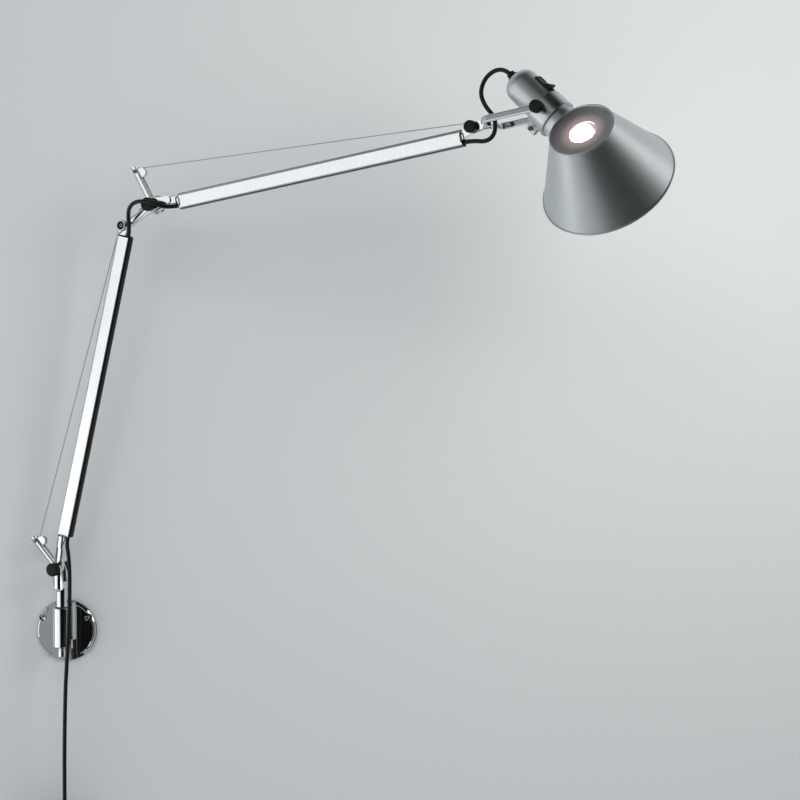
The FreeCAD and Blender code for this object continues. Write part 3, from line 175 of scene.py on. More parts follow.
def coil_route():
    """The coil's control points, from where the cord enters it to the plug."""
    points = [coil_start]
    for step in range(1, coil_turns * coil_points_per_turn + 1):
        angle = 2 * math.pi * step / coil_points_per_turn
        spin = Vector((coil_radius * math.cos(angle), coil_rise * angle, -coil_radius * math.sin(angle)))
        points.append(coil_centre + spin)
    points.append(points[-1] + coil_down * coil_tail)
    return points


print("coil points", len(coil_route()))

# %% [markdown]
# A curve with a bevel depth is drawn as a round cord. Its order is set to 3 once its points are
# there, since an order set before them falls back to straight runs.

# %% Cords as curves
steps_along = 10
steps_round = 5


def nurbs_line(name, points, radius):
    """A smooth cord with these control points."""
    curve = bpy.data.curves.new(name, "CURVE")
    curve.dimensions = "3D"
    spline = curve.splines.new("NURBS")
    spline.points.add(len(points) - 1)
    for point, place in zip(spline.points, points):
        point.co = (*place, 1.0)
    spline.order_u = 3
    spline.use_endpoint_u = True
    spline.resolution_u = steps_along
    curve.bevel_depth = radius
    curve.bevel_resolution = steps_round
    curve.use_fill_caps = True
    piece = bpy.data.objects.new(name, curve)
    bpy.context.scene.collection.objects.link(piece)
    return piece


def line_points(piece):
    """The points of a curve's own centre line, in order."""
    depth = piece.data.bevel_depth
    piece.data.bevel_depth = 0
    bpy.context.view_layer.update()
    mesh = bpy.data.meshes.new_from_object(piece)
    piece.data.bevel_depth = depth
    points = [vertex.co.copy() for vertex in mesh.vertices]
    bpy.data.meshes.remove(mesh)
    return points


def route_length(points):
    return sum((b - a).length for a, b in zip(points, points[1:]))


def mesh_of(line, name):
    """A smooth mesh piece with the shape that a curve has now."""
    bpy.context.view_layer.update()
    mesh = bpy.data.meshes.new_from_object(line)
    mesh.name = name
    for face in mesh.polygons:
        face.use_smooth = True
    piece = bpy.data.objects.new(name, mesh)
    bpy.context.scene.collection.objects.link(piece)
    return piece


def mesh_instead_of(line, name):
    """The same, with the curve thrown away."""
    piece = mesh_of(line, name)
    bpy.data.objects.remove(line)
    return piece


print("cord across", 2 * cord_radius, "m")

# %% [markdown]
# The cord below the stem hangs straight down into its coil. It crosses no joint, so it is one piece.
# It is turned into a mesh all the same, because the bounding box of a thick curve comes out too large.

# %% The hanging cord and its coil
hanging_line = nurbs_line("hanging_line", hanging_route + [tuple(p) for p in coil_route()], cord_radius)
hanging_path = line_points(hanging_line)
hanging_length = route_length(hanging_path)
hanging = mesh_instead_of(hanging_line, "hanging_cable")
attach(hanging, "wall_bracket")
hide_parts("hanging_cord", "cord_coil")
print("free cord below the stem", round(hanging_length, 3), "m")

# %% [markdown]
# Where a cord crosses a joint it has to bend when the arm moves. So the route's line is cut where
# one stretch ends and the next begins, and each stretch becomes a tube of faces.

# %% Cord stretches across the joints
length_tolerance = 1e-9


def stretch_of(points, start, end):
    """The points of a line from one distance along it to another, with both ends cut exactly."""
    kept = []
    walked = 0.0
    for a, b in zip(points, points[1:]):
        step = (b - a).length
        for mark in (start, end):
            if walked <= mark < walked + step:
                kept.append(a + (b - a) * ((mark - walked) / step))
        walked += step
        if start < walked < end:
            kept.append(b)
    if end >= walked - length_tolerance:
        kept.append(points[-1])
    return kept


def cord_stretches(route, cuts):
    """Tubes along one route. A cut is a name, two bodies, the share of the route where the stretch
    ends, the share of its points after which it would wholly follow the second body, which is not
    used, and its CAD node."""
    line = nurbs_line("route", route, cord_radius)
    line.data.bevel_factor_mapping_start = "SPLINE"
    line.data.bevel_factor_mapping_end = "SPLINE"
    centre = line_points(line)
    total = route_length(centre)
    start = 0.0
    pieces = []
    for name, bodies, end, settled, node in cuts:
        line.data.bevel_factor_start = start
        line.data.bevel_factor_end = end
        piece = mesh_of(line, name)
        path = stretch_of(centre, start * total, end * total)
        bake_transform(piece)
        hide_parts(node)
        length = route_length(path)
        print(name, round(length, 4), "m between", bodies)
        pieces.append(piece)
        start = end
    bpy.data.objects.remove(line)
    return pieces


cables = [hanging]
cables += cord_stretches(base_route, [
    ("base_cable_upper", ("lower_arm", "stem"), 0.309, 1.0, "base_cord_upper"),
    ("base_cable_lower", ("stem", "wall_bracket"), 1.0, 0.5, "base_cord_lower"),
])
cables += cord_stretches(elbow_route, [
    ("elbow_cable", ("lower_arm", "upper_arm"), 1.0, 1.0, "elbow_cord"),
])
cables += cord_stretches(head_route, [
    ("wrist_cable", ("upper_arm", "wrist"), 0.123, 1.0, "wrist_cord"),
    ("fork_cable", ("wrist", "fork"), 0.328, 1.0, "fork_cord"),
    ("head_cable", ("fork", "head"), 1.0, 1.0, "head_cord"),
])

# %% [markdown]
# A thin steel wire runs from the strut's anchor to the roller at the far end of each arm, round it
# and back into the tube, where the spring pulls on it. It leaves the anchor's round lobe as a tangent
# and meets the roller as one. The straight span is a tube with a ring of points at each end only, so
# it stays straight. The turn rides the arm.

# %% Tension wires
wire_radius = 0.0005
anchor_lobe = Vector((0.046, 0, -0.0073))
anchor_wrap = 0.0062
roller_wrap = 0.00615
wire_run_inside = 5 * roller_wrap
roller_places = {"lower": Vector((0.4872, 0, 0.006)), "upper": Vector(wrist_pivot)}


def tension_wire(name, strut, arm, bodies):
    """The straight span between strut and roller, and the turn round the roller into the tube."""
    anchor = arm.inverted() @ (strut @ anchor_lobe)
    roller = roller_places[name]
    span = roller - anchor
    angle = math.atan2(span.z, span.x) + math.acos((anchor_wrap - roller_wrap) / span.length)
    out = Vector((math.cos(angle), 0, math.sin(angle)))
    start = arm @ (anchor + out * anchor_wrap)
    touch = roller + out * roller_wrap
    line = nurbs_line("span", [start, arm @ touch], wire_radius)
    line.data.splines[0].type = "POLY"
    straight = mesh_instead_of(line, name + "_wire_span")
    arm @ touch
    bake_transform(straight)
    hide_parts(name + "_wire")
    past = Vector((roller_wrap, 0, 0))
    below = roller + Vector((0, 0, -roller_wrap))
    turn = [touch, touch + past, below + past, below, below - Vector((wire_run_inside, 0, 0))]
    line = nurbs_line("turn", [arm @ place for place in turn], wire_radius)
    wrap = mesh_instead_of(line, name + "_wire_turn")
    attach(wrap, bodies[1])
    print(name, "wire", round((arm @ touch - start).length, 4), "m")
    return [straight, wrap]


wires = tension_wire("lower", lower_strut_frame, lower_frame, ("stem", "lower_arm"))
wires += tension_wire("upper", upper_strut_frame, upper_frame, ("lower_arm", "upper_arm"))

# %% [markdown]
# A thin black trim closes the cut end of each tube. It has the tube's own rounded outline, so it is
# drawn as a rectangle whose corners are bevelled, inset to leave a ring, and given a little depth.

# %% Trims on the tube ends
tube_length = 0.424
tube_width = 0.0215
tube_depth = 0.013
lower_tube_start = 0.049
upper_tube_start = 0.0435
upper_tube_drop = 0.0037
trim_lap = 0.0003
trim_wall = 0.0018
trim_depth = 0.0012
tube_corner = 0.004
corner_steps = 5
edge_softness = 0.0003
edge_steps = 2
sharp_angle = math.radians(40)


def sharp_edges(shape):
    return [e for e in shape.edges if len(e.link_faces) == 2 and e.calc_face_angle(0) > sharp_angle]


def piece_from(shape, name, body):
    """Turns a bmesh into a smooth piece that rides a body; its sharp edges stay sharp."""
    bmesh.ops.recalc_face_normals(shape, faces=shape.faces)
    for face in shape.faces:
        face.smooth = True
    for edge in sharp_edges(shape):
        edge.smooth = False
    mesh = bpy.data.meshes.new(name)
    shape.to_mesh(mesh)
    shape.free()
    piece = bpy.data.objects.new(name, mesh)
    bpy.context.scene.collection.objects.link(piece)
    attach(piece, body)
    return piece


def verts_in(geometry):
    return [part for part in geometry if isinstance(part, bmesh.types.BMVert)]


def rounded_ring(length, width, corner, wall, depth):
    """A ring that lies flat with its length along x, its width along y and its depth along z."""
    x, y = length / 2, width / 2
    shape = bmesh.new()
    shape.faces.new([shape.verts.new((*place, 0)) for place in ((-x, -y), (x, -y), (x, y), (-x, y))])
    bmesh.ops.bevel(shape, geom=list(shape.verts), offset=corner, segments=corner_steps, profile=0.5,
                    affect="VERTICES", material=-1)
    ring = bmesh.ops.inset_individual(shape, faces=list(shape.faces), thickness=wall,
                                      use_even_offset=True)["faces"]
    middle = [face for face in shape.faces if face not in ring]
    bmesh.ops.delete(shape, geom=middle, context="FACES_ONLY")
    made = bmesh.ops.extrude_face_region(shape, geom=list(shape.faces), use_keep_orig=True)["geom"]
    bmesh.ops.translate(shape, verts=verts_in(made), vec=(0, 0, depth))
    bmesh.ops.bevel(shape, geom=sharp_edges(shape), offset=edge_softness, segments=edge_steps, profile=0.5,
                    affect="EDGES", material=-1)
    return shape


def tube_trim(name, arm, place, drop, body):
    """A trim whose depth runs along its arm, from the given place on."""
    length = tube_depth + 2 * trim_lap
    width = tube_width + 2 * trim_lap
    shape = rounded_ring(length, width, tube_corner, trim_wall, trim_depth)
    shape.transform(nested(arm, (place, 0, -drop), "Y", 90))
    return piece_from(shape, name, body)


lower_tube_end = lower_tube_start + tube_length
upper_tube_end = upper_tube_start + tube_length
trims = [
    tube_trim("lower_trim_bottom", lower_frame, lower_tube_start - trim_depth, 0, "lower_arm"),
    tube_trim("lower_trim_top", lower_frame, lower_tube_end, 0, "lower_arm"),
    tube_trim("upper_trim_elbow", upper_frame, upper_tube_start - trim_depth, upper_tube_drop, "upper_arm"),
    tube_trim("upper_trim_head", upper_frame, upper_tube_end, upper_tube_drop, "upper_arm"),
]
print("trims", [len(piece.data.polygons) for piece in trims])

# %% [markdown]
# Two soft ties keep the put-away turns of the cord side by side. Each is a flat band bent round all
# seven turns, which is the same rounded ring again: as long as the row of turns, a cord wide, and
# deep enough to be a band. The coil's line runs a little inside its own control points.

# %% Ties round the coil
tie_width = 0.009
tie_thickness = 0.0009
tie_slack = 0.0005
tie_end_flat = 0.0001
coil_line_radius = 0.0303
upper_tie_angle = 1.5 * math.pi
lower_tie_angle = 0.75 * math.pi


def coil_tie(name, angle):
    """A band round the turns at one angle of the coil, with its own width along the cord."""
    radial = Vector((math.cos(angle), 0, -math.sin(angle)))
    along = Vector((math.sin(angle), 0, math.cos(angle)))
    turns_before = (coil_turns - 1) / 2 + angle / (2 * math.pi)
    middle = coil_centre + radial * coil_line_radius + Vector((0, coil_pitch * turns_before, 0))
    across = 2 * (cord_radius + tie_slack + tie_thickness)
    length = across + coil_pitch * (coil_turns - 1)
    shape = rounded_ring(across, length, across / 2 - tie_end_flat, tie_thickness, tie_width)
    turned = Matrix((radial, (0, 1, 0), along)).transposed().to_4x4()
    shape.transform(Matrix.Translation(middle - along * tie_width / 2) @ turned)
    return piece_from(shape, name, "wall_bracket")


ties = [coil_tie("coil_tie_upper", upper_tie_angle), coil_tie("coil_tie_lower", lower_tie_angle)]
print("ties", [len(piece.data.polygons) for piece in ties])

# %% [markdown]
# The three screws that hold the plate to the wall have domed heads with a cross slot. Each head is
# spun from half of its outline. Then planes cut the dome along the edges of the slot, and the faces
# between them are pushed in.

# %% Wall screws
screw_count = 3
first_screw_angle = 30
screw_ring = 0.033
screw_seat = -0.0068
screw_steps = 40
screw_dome = [(0.0, -0.0016), (0.0016, -0.00145), (0.0029, -0.0009), (0.0036, -0.0001), (0.0036, 0.0012),
              (0.0, 0.0012)]
slot_half_width = 0.0004
slot_reach = 0.0021
slot_depth = 0.0009
same_place = 1e-6
on_the_cut = 1e-7


def cut_cross(shape):
    """Sinks a cross into the front of a head that faces along -y."""
    for axis in (Vector((1, 0, 0)), Vector((0, 0, 1))):
        for offset in (-slot_reach, -slot_half_width, slot_half_width, slot_reach):
            geometry = list(shape.verts) + list(shape.edges) + list(shape.faces)
            bmesh.ops.bisect_plane(shape, geom=geometry, plane_co=axis * offset, plane_no=axis,
                                   dist=on_the_cut)
    slot = []
    for face in shape.faces:
        middle = face.calc_center_median()
        near, far = sorted((abs(middle.x), abs(middle.z)))
        if middle.y < 0 and near < slot_half_width and far < slot_reach:
            slot.append(face)
    borders = list({edge for face in slot for edge in face.edges})
    made = bmesh.ops.extrude_face_region(shape, geom=slot + borders)["geom"]
    bmesh.ops.translate(shape, verts=verts_in(made), vec=(0, slot_depth, 0))


def wall_screw(name, angle):
    """A screw's head on the plate's ring of holes, at an angle from the right."""
    shape = bmesh.new()
    verts = [shape.verts.new((radius, depth, 0)) for radius, depth in screw_dome]
    edges = [shape.edges.new(pair) for pair in zip(verts, verts[1:])]
    bmesh.ops.spin(shape, geom=verts + edges, cent=(0, 0, 0), axis=(0, 1, 0), angle=2 * math.pi,
                   steps=screw_steps, use_merge=True)
    bmesh.ops.remove_doubles(shape, verts=shape.verts, dist=same_place)
    cut_cross(shape)
    print(name, "open edges", sum(not edge.is_manifold for edge in shape.edges))
    shape.transform(Matrix.Rotation(angle, 4, "Y"))
    place = Vector((screw_ring * math.cos(angle), screw_seat, screw_ring * math.sin(angle)))
    bmesh.ops.translate(shape, verts=shape.verts, vec=place)
    return piece_from(shape, name, "wall_bracket")


screws = []
for index in range(screw_count):
    turn = math.radians(first_screw_angle + index * 360 / screw_count)
    screws.append(wall_screw("wall_screw_%d" % (index + 1), turn))

# %% [markdown]
# Shader maths reads best as plain expressions. One small class wraps a node's output socket and
# overloads the operators, so that a mask can be written as 1 - edge and the Math nodes appear by
# themselves. Every other node comes from one method that takes its type, settings and inputs.

# %% A socket that can be written in expressions
class Socket:
    def __init__(self, tree, output):
        self.tree = tree
        self.output = output

    def node(self, kind, inputs=(), out=0, **settings):
        """Any other node: its settings first, then its inputs, by name or number."""
        made = self.tree.nodes.new(kind)
        for key, value in settings.items():
            setattr(made, key, value)
        for key, value in dict(inputs).items():
            plug_in(self.tree, made.inputs[key], value)
        return Socket(self.tree, made.outputs[out])

    def maths(self, operation, *values):
        return self.node("ShaderNodeMath", enumerate(values), operation=operation)

    def __sub__(self, other):
        return self.maths("SUBTRACT", self, other)

    def __rsub__(self, other):
        return self.maths("SUBTRACT", other, self)

    def __mul__(self, other):
        return self.maths("MULTIPLY", self, other)

    def __rmul__(self, other):
        return self.maths("MULTIPLY", other, self)

    def __abs__(self):
        return self.maths("ABSOLUTE", self)

    def power(self, exponent):
        return self.maths("POWER", self, exponent)

    def between(self, low, high, new_low=0.0, new_high=1.0):
        """Stretches the range from low to high onto a new one, and stops at its ends."""
        values = {0: self, 1: low, 2: high, 3: new_low, 4: new_high}
        return self.node("ShaderNodeMapRange", values, clamp=True)

    def mix(self, first, second):
        """Two colours mixed by this value."""
        return self.node("ShaderNodeMix", {0: self, 6: first, 7: second}, out=2, data_type="RGBA")

    def height(self):
        """How high a place is, on the z axis."""
        return self.node("ShaderNodeSeparateXYZ", {0: self}, out=2)

    def vector_maths(self, operation, vector):
        """A number from this vector and a fixed one, such as a distance."""
        inputs = {0: self, 1: tuple(vector)}
        return self.node("ShaderNodeVectorMath", inputs, out="Value", operation=operation)


def plug_in(tree, slot, value):
    """Links a socket's output to a slot, or sets the slot to a plain value."""
    if isinstance(value, Socket):
        tree.links.new(value.output, slot)
    else:
        slot.default_value = value


print("a socket can", [name for name in vars(Socket) if not name.startswith("_")])

# %% [markdown]
# A finish is one material with a Principled shader. What is the same all over goes on the shader's own
# sockets as a constant, and only what varies over the surface is plugged in. Patterns read Object
# coordinates, so a pattern rides with its piece when the arm moves.

# %% A finish
class Finish:
    def __init__(self, name, **constants):
        self.material = bpy.data.materials.new(name)
        self.material.use_nodes = True
        self.tree = self.material.node_tree
        self.shader = self.tree.nodes["Principled BSDF"]
        for key, value in constants.items():
            self.shader.inputs[key.replace("_", " ")].default_value = value
        coordinates = self.tree.nodes.new("ShaderNodeTexCoord")
        self.place = Socket(self.tree, coordinates.outputs["Object"])

    def set(self, name, value):
        plug_in(self.tree, self.shader.inputs[name], value)

    def bump(self, height, distance, strength=1.0):
        inputs = {"Height": height, "Distance": distance, "Strength": strength}
        self.set("Normal", self.place.node("ShaderNodeBump", inputs))

    def clear_from_behind(self):
        """The back of the surface lets the view through, so a wall hides nothing from behind it."""
        back = Socket(self.tree, self.tree.nodes.new("ShaderNodeNewGeometry").outputs["Backfacing"])
        clear = self.place.node("ShaderNodeBsdfTransparent")
        front = Socket(self.tree, self.shader.outputs[0])
        joined = back.node("ShaderNodeMixShader", {0: back, 1: front, 2: clear})
        self.tree.links.new(joined.output, self.tree.nodes["Material Output"].inputs["Surface"])

    def noise(self, scale, detail=3.0):
        inputs = {"Vector": self.place, "Scale": scale, "Detail": detail}
        return self.place.node("ShaderNodeTexNoise", inputs)


def shade_of(red, green, blue):
    return (red, green, blue, 1.0)


def wear(piece, finish):
    """Gives a piece one finish."""
    piece.data.materials.clear()
    piece.data.materials.append(finish.material)


print("a finish can", [name for name in vars(Finish) if not name.startswith("_")])

# %% [markdown]
# The lamp is almost all aluminium. The arms, struts and fork are polished, so they show the room:
# white where they face the soft light, dark where they face the shadows. The wall plate and the barrel
# are as bright as chrome. The shade and the can are satin anodised, and the clamp band round the can
# is brushed a little darker. Fine noise in the roughness keeps each from looking like a perfect mirror.

# %% Metal finishes
noise_low = 0.3
noise_high = 0.7
slow_drift = 60.0


def metal(name, dark, light, smooth, rough, grain=220.0):
    """Metal whose colour drifts slowly and whose roughness varies finely."""
    made = Finish(name, Metallic=1.0)
    made.set("Base Color", made.noise(slow_drift).mix(shade_of(*dark), shade_of(*light)))
    made.set("Roughness", made.noise(grain, 4.0).between(noise_low, noise_high, smooth, rough))
    return made


polished = metal("polished_aluminium", (0.70, 0.71, 0.72), (0.80, 0.81, 0.82), 0.07, 0.13)
chrome = metal("chrome", (0.74, 0.75, 0.76), (0.82, 0.83, 0.84), 0.015, 0.035)
anchor_metal = metal("anchor_metal", (0.42, 0.43, 0.44), (0.50, 0.51, 0.52), 0.10, 0.16)
brushed = metal("brushed_aluminium", (0.56, 0.58, 0.58), (0.64, 0.66, 0.66), 0.28, 0.36, 400.0)
dark_steel = metal("dark_steel", (0.08, 0.08, 0.085), (0.14, 0.14, 0.145), 0.22, 0.34)
wire = metal("steel_wire", (0.30, 0.31, 0.32), (0.38, 0.39, 0.40), 0.25, 0.35, 700.0)
satin = metal("satin_aluminium", (0.66, 0.69, 0.695), (0.72, 0.75, 0.755), 0.42, 0.48, 500.0)
satin.bump(satin.noise(1500.0, 2.0), distance=0.00002, strength=0.3)
print("metals", len(bpy.data.materials))

# %% [markdown]
# The disc in the shade's top catches the bulb's light round its own hole. That glow is painted rather
# than lit, so that it stays smooth: the disc shines faintly by itself, warm beside the hole and almost
# not at all at its rim. The mask is the distance from the middle of the hole.

# %% Top disc with its glow
glow_start = 0.0165
glow_end = 0.030
glow_beside_hole = shade_of(0.34, 0.235, 0.21)
glow_at_rim = shade_of(0.045, 0.042, 0.045)
disc_metal = metal("top_disc_grey", (0.40, 0.38, 0.385), (0.46, 0.44, 0.445), 0.45, 0.52, 500.0)
from_hole = disc_metal.place.vector_maths("DISTANCE", shade_hole)
disc_metal.set("Emission Color", from_hole.between(glow_start, glow_end).mix(glow_beside_hole, glow_at_rim))
disc_metal.set("Emission Strength", 1.0)
print("glow fades over", round(glow_end - glow_start, 4), "m")

# %% [markdown]
# The arm tubes are drawn from the same aluminium, but only their two broad faces keep its bright colour.
# Their rounded narrow sides are painted near black, a painted dark reflection that draws the crisp black
# outline beside each white face. The mask asks how far a point's normal turns away from the broad faces,
# which both look along the pivots.

# %% Tube finish with painted dark sides
broad_from = 0.60
broad_to = 0.86
broad_smoother_by = 0.06
tube_finish_painted_sides = Finish("arm_tube_painted_dark_sides", Metallic=1.0)
normal = tube_finish_painted_sides.place.node("ShaderNodeTexCoord", out="Normal")
pivot_line = stem_frame.to_3x3() @ Vector((0, 1, 0))
broad = abs(normal.vector_maths("DOT_PRODUCT", pivot_line)).between(broad_from, broad_to)
drift = tube_finish_painted_sides.noise(40.0).mix(shade_of(0.78, 0.79, 0.80), shade_of(0.86, 0.87, 0.88))
grain = tube_finish_painted_sides.noise(300.0).between(noise_low, noise_high, 0.24, 0.30)
# Painted shade: the narrow sides take a near black colour in place of the dark reflection of a rounded edge.
tube_finish_painted_sides.set("Base Color", broad.mix(shade_of(0.025, 0.026, 0.027), drift))
tube_finish_painted_sides.set("Roughness", grain - broad * broad_smoother_by)
print("broad faces look along", [round(v, 3) for v in pivot_line])

# %% [markdown]
# The struts, the two fittings of the lower arm and the top of the stem are drawn bars with well
# rounded edges, so each shows a bright line down its middle and dark lines at its sides. The rounding
# is a bump whose height falls off across the bar; a higher exponent leaves the middle flatter.

# %% Rounded bars
elbow_link_raise = -43.2
foot_raise = 5.7
stem_line_place = (-0.0035, 0, 0.0915)
stem_bar_start = 0.060
bar_fade = 0.004


def rounded_bar(name, place, half_width, exponent, distance, start=None):
    """Polished metal that looks rounded across a bar lying along the x axis of a frame. Where a start
    is given, only what lies above that height is rounded."""
    made = metal(name, (0.70, 0.71, 0.72), (0.80, 0.81, 0.82), 0.06, 0.12)
    across = place.to_3x3() @ Vector((0, 0, 1))
    offset = across.dot(place.translation)
    share = (made.place.vector_maths("DOT_PRODUCT", across) - offset) * (1 / half_width)
    height = 1 - abs(share).between(0.0, 1.0).power(exponent)
    if start is not None:
        height = height * made.place.height().between(start, start + bar_fade)
    made.bump(height, distance)
    return made


lower_bar = rounded_bar("lower_strut_bar", lower_strut_frame, 0.0035, 2.0, 0.0022)
upper_bar = rounded_bar("upper_strut_bar", upper_strut_frame, 0.0035, 5.0, 0.0012)
link_line = pitched(lower_frame, elbow_pivot, elbow_link_raise)
link_bar = rounded_bar("elbow_link_bar", link_line, 0.0048, 4.0, 0.0018)
foot_line = pitched(lower_frame, (0, 0, 0), foot_raise)
foot_bar = rounded_bar("lower_foot_bar", foot_line, 0.0060, 2.5, 0.0036)
stem_line = pitched(stem_frame, stem_line_place, 90)
stem_bar = rounded_bar("stem_bar", stem_line, 0.0078, 2.0, 0.0050, start=stem_bar_start)
bars = (lower_bar, upper_bar, link_bar, foot_bar, stem_bar)
print("rounded bars", [made.material.name for made in bars])

# %% [markdown]
# The knobs, the switch and the gland are moulded in black plastic with a faint texture. The cord's
# sheath is smoother and takes a soft line of light along its length.

# %% Plastic and rubber
black = Finish("black_plastic", Roughness=0.42, Specular_IOR_Level=0.2)
black.set("Base Color", black.noise(80.0).mix(shade_of(0.004, 0.004, 0.0045), shade_of(0.009, 0.009, 0.010)))
black.bump(black.noise(900.0, 2.0), distance=0.00003, strength=0.5)

bearing = Finish("bearing_plastic", Roughness=0.5)
bearing.set("Base Color", bearing.noise(80.0).mix(shade_of(0.05, 0.05, 0.052), shade_of(0.08, 0.08, 0.082)))

rubber = Finish("cable_sheath", Roughness=0.32, Specular_IOR_Level=0.3)
rubber.set("Base Color", rubber.noise(50.0).mix(shade_of(0.005, 0.005, 0.005), shade_of(0.010, 0.010, 0.010)))
print("plastics", [made.material.name for made in (black, bearing, rubber)])

# %% [markdown]
# The roller of the lower arm has a dished cap: a grey middle, a near black ring of painted shade
# where the groove lies, and a bright rim. The three rings are read from the distance to the cap's
# middle. The bulb is opal glass that is lit.

# %% Roller cap and bulb
cap_reach = Vector((0, -0.0077, 0))
painted_groove_shade_starts = (0.0026, 0.0030)
rim_starts = (0.0052, 0.0056)
roller_cap = metal("roller_cap", (0.12, 0.12, 0.12), (0.16, 0.16, 0.16), 0.25, 0.35)
from_cap = roller_cap.place.vector_maths("DISTANCE", lower_frame @ (roller_places["lower"] + cap_reach))
# Painted shade: the groove's ring is coloured near black for the shade that falls in it.
middle_and_painted_groove_shade = from_cap.between(*painted_groove_shade_starts).mix(shade_of(0.14, 0.14, 0.14), shade_of(0.004, 0.004, 0.004))
roller_cap.set("Base Color", from_cap.between(*rim_starts).mix(middle_and_painted_groove_shade, shade_of(0.62, 0.63, 0.64)))

opal = Finish("opal_bulb", Roughness=0.4, Emission_Strength=14.0)
opal.set("Base Color", opal.noise(30.0).mix(shade_of(0.92, 0.90, 0.86), shade_of(0.96, 0.94, 0.90)))
opal.set("Emission Color", shade_of(1.0, 0.93, 0.86))
print("roller cap and bulb ready")

# %% [markdown]
# Each solid names the slot of its material, and each slot has its finish here. A few pieces look
# different from the rest of their slot and wear a finish of their own.

# %% Who wears what
slot_finishes = {
    "polished": polished,
    "satin_aluminium": satin,
    "brushed_aluminium": brushed,
    "black_plastic": black,
    "cable": rubber,
    "dark_steel": dark_steel,
    "steel_wire": wire,
    "opal_glass": opal,
    "bulb_metal": dark_steel,
    "bearing_plastic": bearing,
}
own_finishes = {
    "back_plate": chrome,
    "cover_plate": chrome,
    "barrel": chrome,
    "retaining_collar": chrome,
    "stem": stem_bar,
    "lower_bottom_fitting": foot_bar,
    "lower_top_fitting": link_bar,
    "lower_strut": lower_bar,
    "upper_strut": upper_bar,
    "lower_wire_anchor": anchor_metal,
    "lower_tube": tube_finish_painted_sides,
    "upper_tube": tube_finish_painted_sides,
    "lower_roller": roller_cap,
    "top_disc": disc_metal,
}
for entry in frame["record"]["subparts"]:
    name = entry["node"]
    wear(nodes[name], own_finishes.get(name, slot_finishes[entry["material_slot"]]))
for pieces, finish, slot in (
    (cables, rubber, "cable"),
    (wires, wire, "steel_wire"),
    (trims + ties, black, "black_plastic"),
    (screws, polished, "polished"),
):
    for piece in pieces:
        wear(piece, finish)
print("slots", len(slot_finishes), "pieces with a finish of their own", len(own_finishes))

# %% [markdown]
# The stage is a plain pale wall and floor. Polished metal also needs something dark to reflect, so
# black cards stand behind the camera and lie above and below the lamp. They show only in reflections:
# they cast no shadow and the camera looks through them.

# %% Wall, floor and cards
def panel(name, corners, finish):
    """A flat piece of the stage with these corners."""
    shape = bmesh.new()
    shape.faces.new([shape.verts.new(corner) for corner in corners])
    mesh = bpy.data.meshes.new(name)
    shape.to_mesh(mesh)
    shape.free()
    piece = bpy.data.objects.new(name, mesh)
    bpy.context.scene.collection.objects.link(piece)
    wear(piece, finish)
    return piece


def standing(start, end, bottom, top):
    """The corners of an upright rectangle over a line seen from above."""
    return [(*start, bottom), (*end, bottom), (*end, top), (*start, top)]


def lying(left, right, near, far, height):
    """The corners of a level rectangle."""
    return [(left, near, height), (right, near, height), (right, far, height), (left, far, height)]


stage_reach = 4.0
floor_height = -1.2
wall_line = 0.002
wall_paint = Finish("wall_paint", Roughness=0.9)
uneven = wall_paint.noise(2.5)
wall_paint.set("Base Color", uneven.mix(shade_of(0.76, 0.785, 0.80), shade_of(0.79, 0.815, 0.83)))
wall_paint.clear_from_behind()
wall_ends = ((-stage_reach, wall_line), (stage_reach, wall_line))
panel("wall", standing(*wall_ends, floor_height, stage_reach), wall_paint)
panel("floor", lying(-stage_reach, stage_reach, -stage_reach, wall_line, floor_height), wall_paint)

card_black = Finish("black_card", Roughness=1.0)
card_black.set("Base Color", shade_of(0.004, 0.004, 0.004))
card_corners = [(-0.49, -3.3), (2.2, -3.3), (3.3, -1.7)]
card_bottom = -1.1
card_top = 2.6
cards = []
for index, (start, end) in enumerate(zip(card_corners, card_corners[1:])):
    cards.append(panel("card_%d" % index, standing(start, end, card_bottom, card_top), card_black))
cards.append(panel("card_below", lying(-0.15, 2.4, -3.2, -1.0, -1.15), card_black))
cards.append(panel("card_above", lying(-1.4, 2.6, -2.6, -0.2, 2.3), card_black))
for card in cards:
    card.visible_camera = False
    card.visible_diffuse = False
    card.visible_shadow = False
    card.visible_transmission = False
print("cards", len(cards))

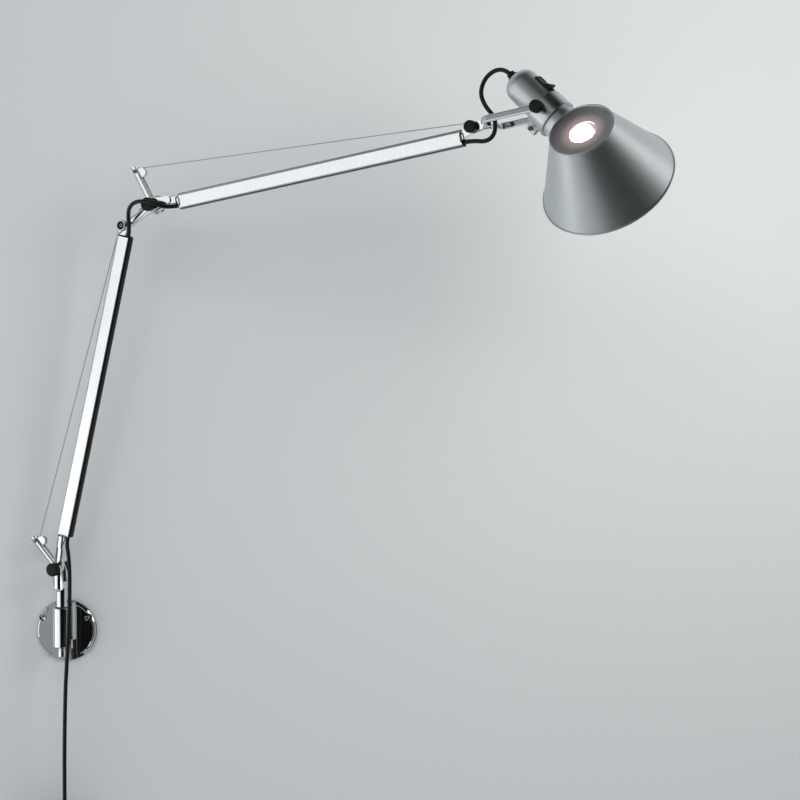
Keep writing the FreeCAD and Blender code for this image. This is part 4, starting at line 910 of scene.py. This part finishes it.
# %% [markdown]
# Soft boxes give the white streaks in the metal, as in a real studio. Two of them stand so close to
# the wall that they would leave a patch of light on it, so matt surfaces don't see them. Two others
# leave no shape in the metal: one fills the room, and one makes the wall paler beside the head.

# %% Lights
def studio_light(name, place, target, size, radiance, colour=(1, 1, 1)):
    """A soft box that looks at a target; radiance 1 looks white when a mirror shows it."""
    data = bpy.data.lights.new(name, "AREA")
    data.shape = "RECTANGLE"
    data.size, data.size_y = size
    data.energy = radiance * math.pi * size[0] * size[1]
    data.color = colour
    box = bpy.data.objects.new(name, data)
    bpy.context.scene.collection.objects.link(box)
    box.location = place
    box.rotation_euler = (Vector(target) - Vector(place)).to_track_quat("-Z", "Y").to_euler()
    return box


warm_white = (1.0, 0.97, 0.91)
studio_light("left_panel", (-1.55, -1.75, 0.25), (0.26, -0.2, 0.25), (2.1, 1.7), 0.80)
studio_light("upper_panel", (0.05, -2.0, 2.2), (0.6, -0.3, 0.6), (1.0, 0.8), 0.6)
only_in_metal = [
    studio_light("low_left_panel", (-1.45, -0.30, -0.30), (0.62, -0.4, 0.65), (1.2, 1.2), 1.1),
    studio_light("right_strip", (2.3, -0.4, 1.2), (0.6, -0.35, 0.65), (0.8, 1.4), 1.1),
]
never_in_metal = [
    studio_light("room_light", (0.1, -3.0, 2.0), (0.35, 0.0, 0.3), (2.6, 1.6), 1.6),
    studio_light("wall_glow", (1.15, -1.0, 0.80), (0.78, 0.0, 0.45), (0.5, 0.5), 6.5, warm_white),
]
for light in only_in_metal:
    light.visible_diffuse = False
for light in never_in_metal:
    light.visible_glossy = False
print("lights", len(bpy.data.lights))

# %% [markdown]
# A grey world fills the shadows. The Standard view shows each colour about as it is written.

# %% World and view
world_grey = shade_of(0.50, 0.52, 0.53)
world_strength = 0.6
world = bpy.data.worlds.new("studio")
bpy.context.scene.world = world
world.use_nodes = True
background = world.node_tree.nodes["Background"]
background.inputs["Color"].default_value = world_grey
background.inputs["Strength"].default_value = world_strength
bpy.context.scene.view_settings.view_transform = "Standard"
print("world strength", world_strength)
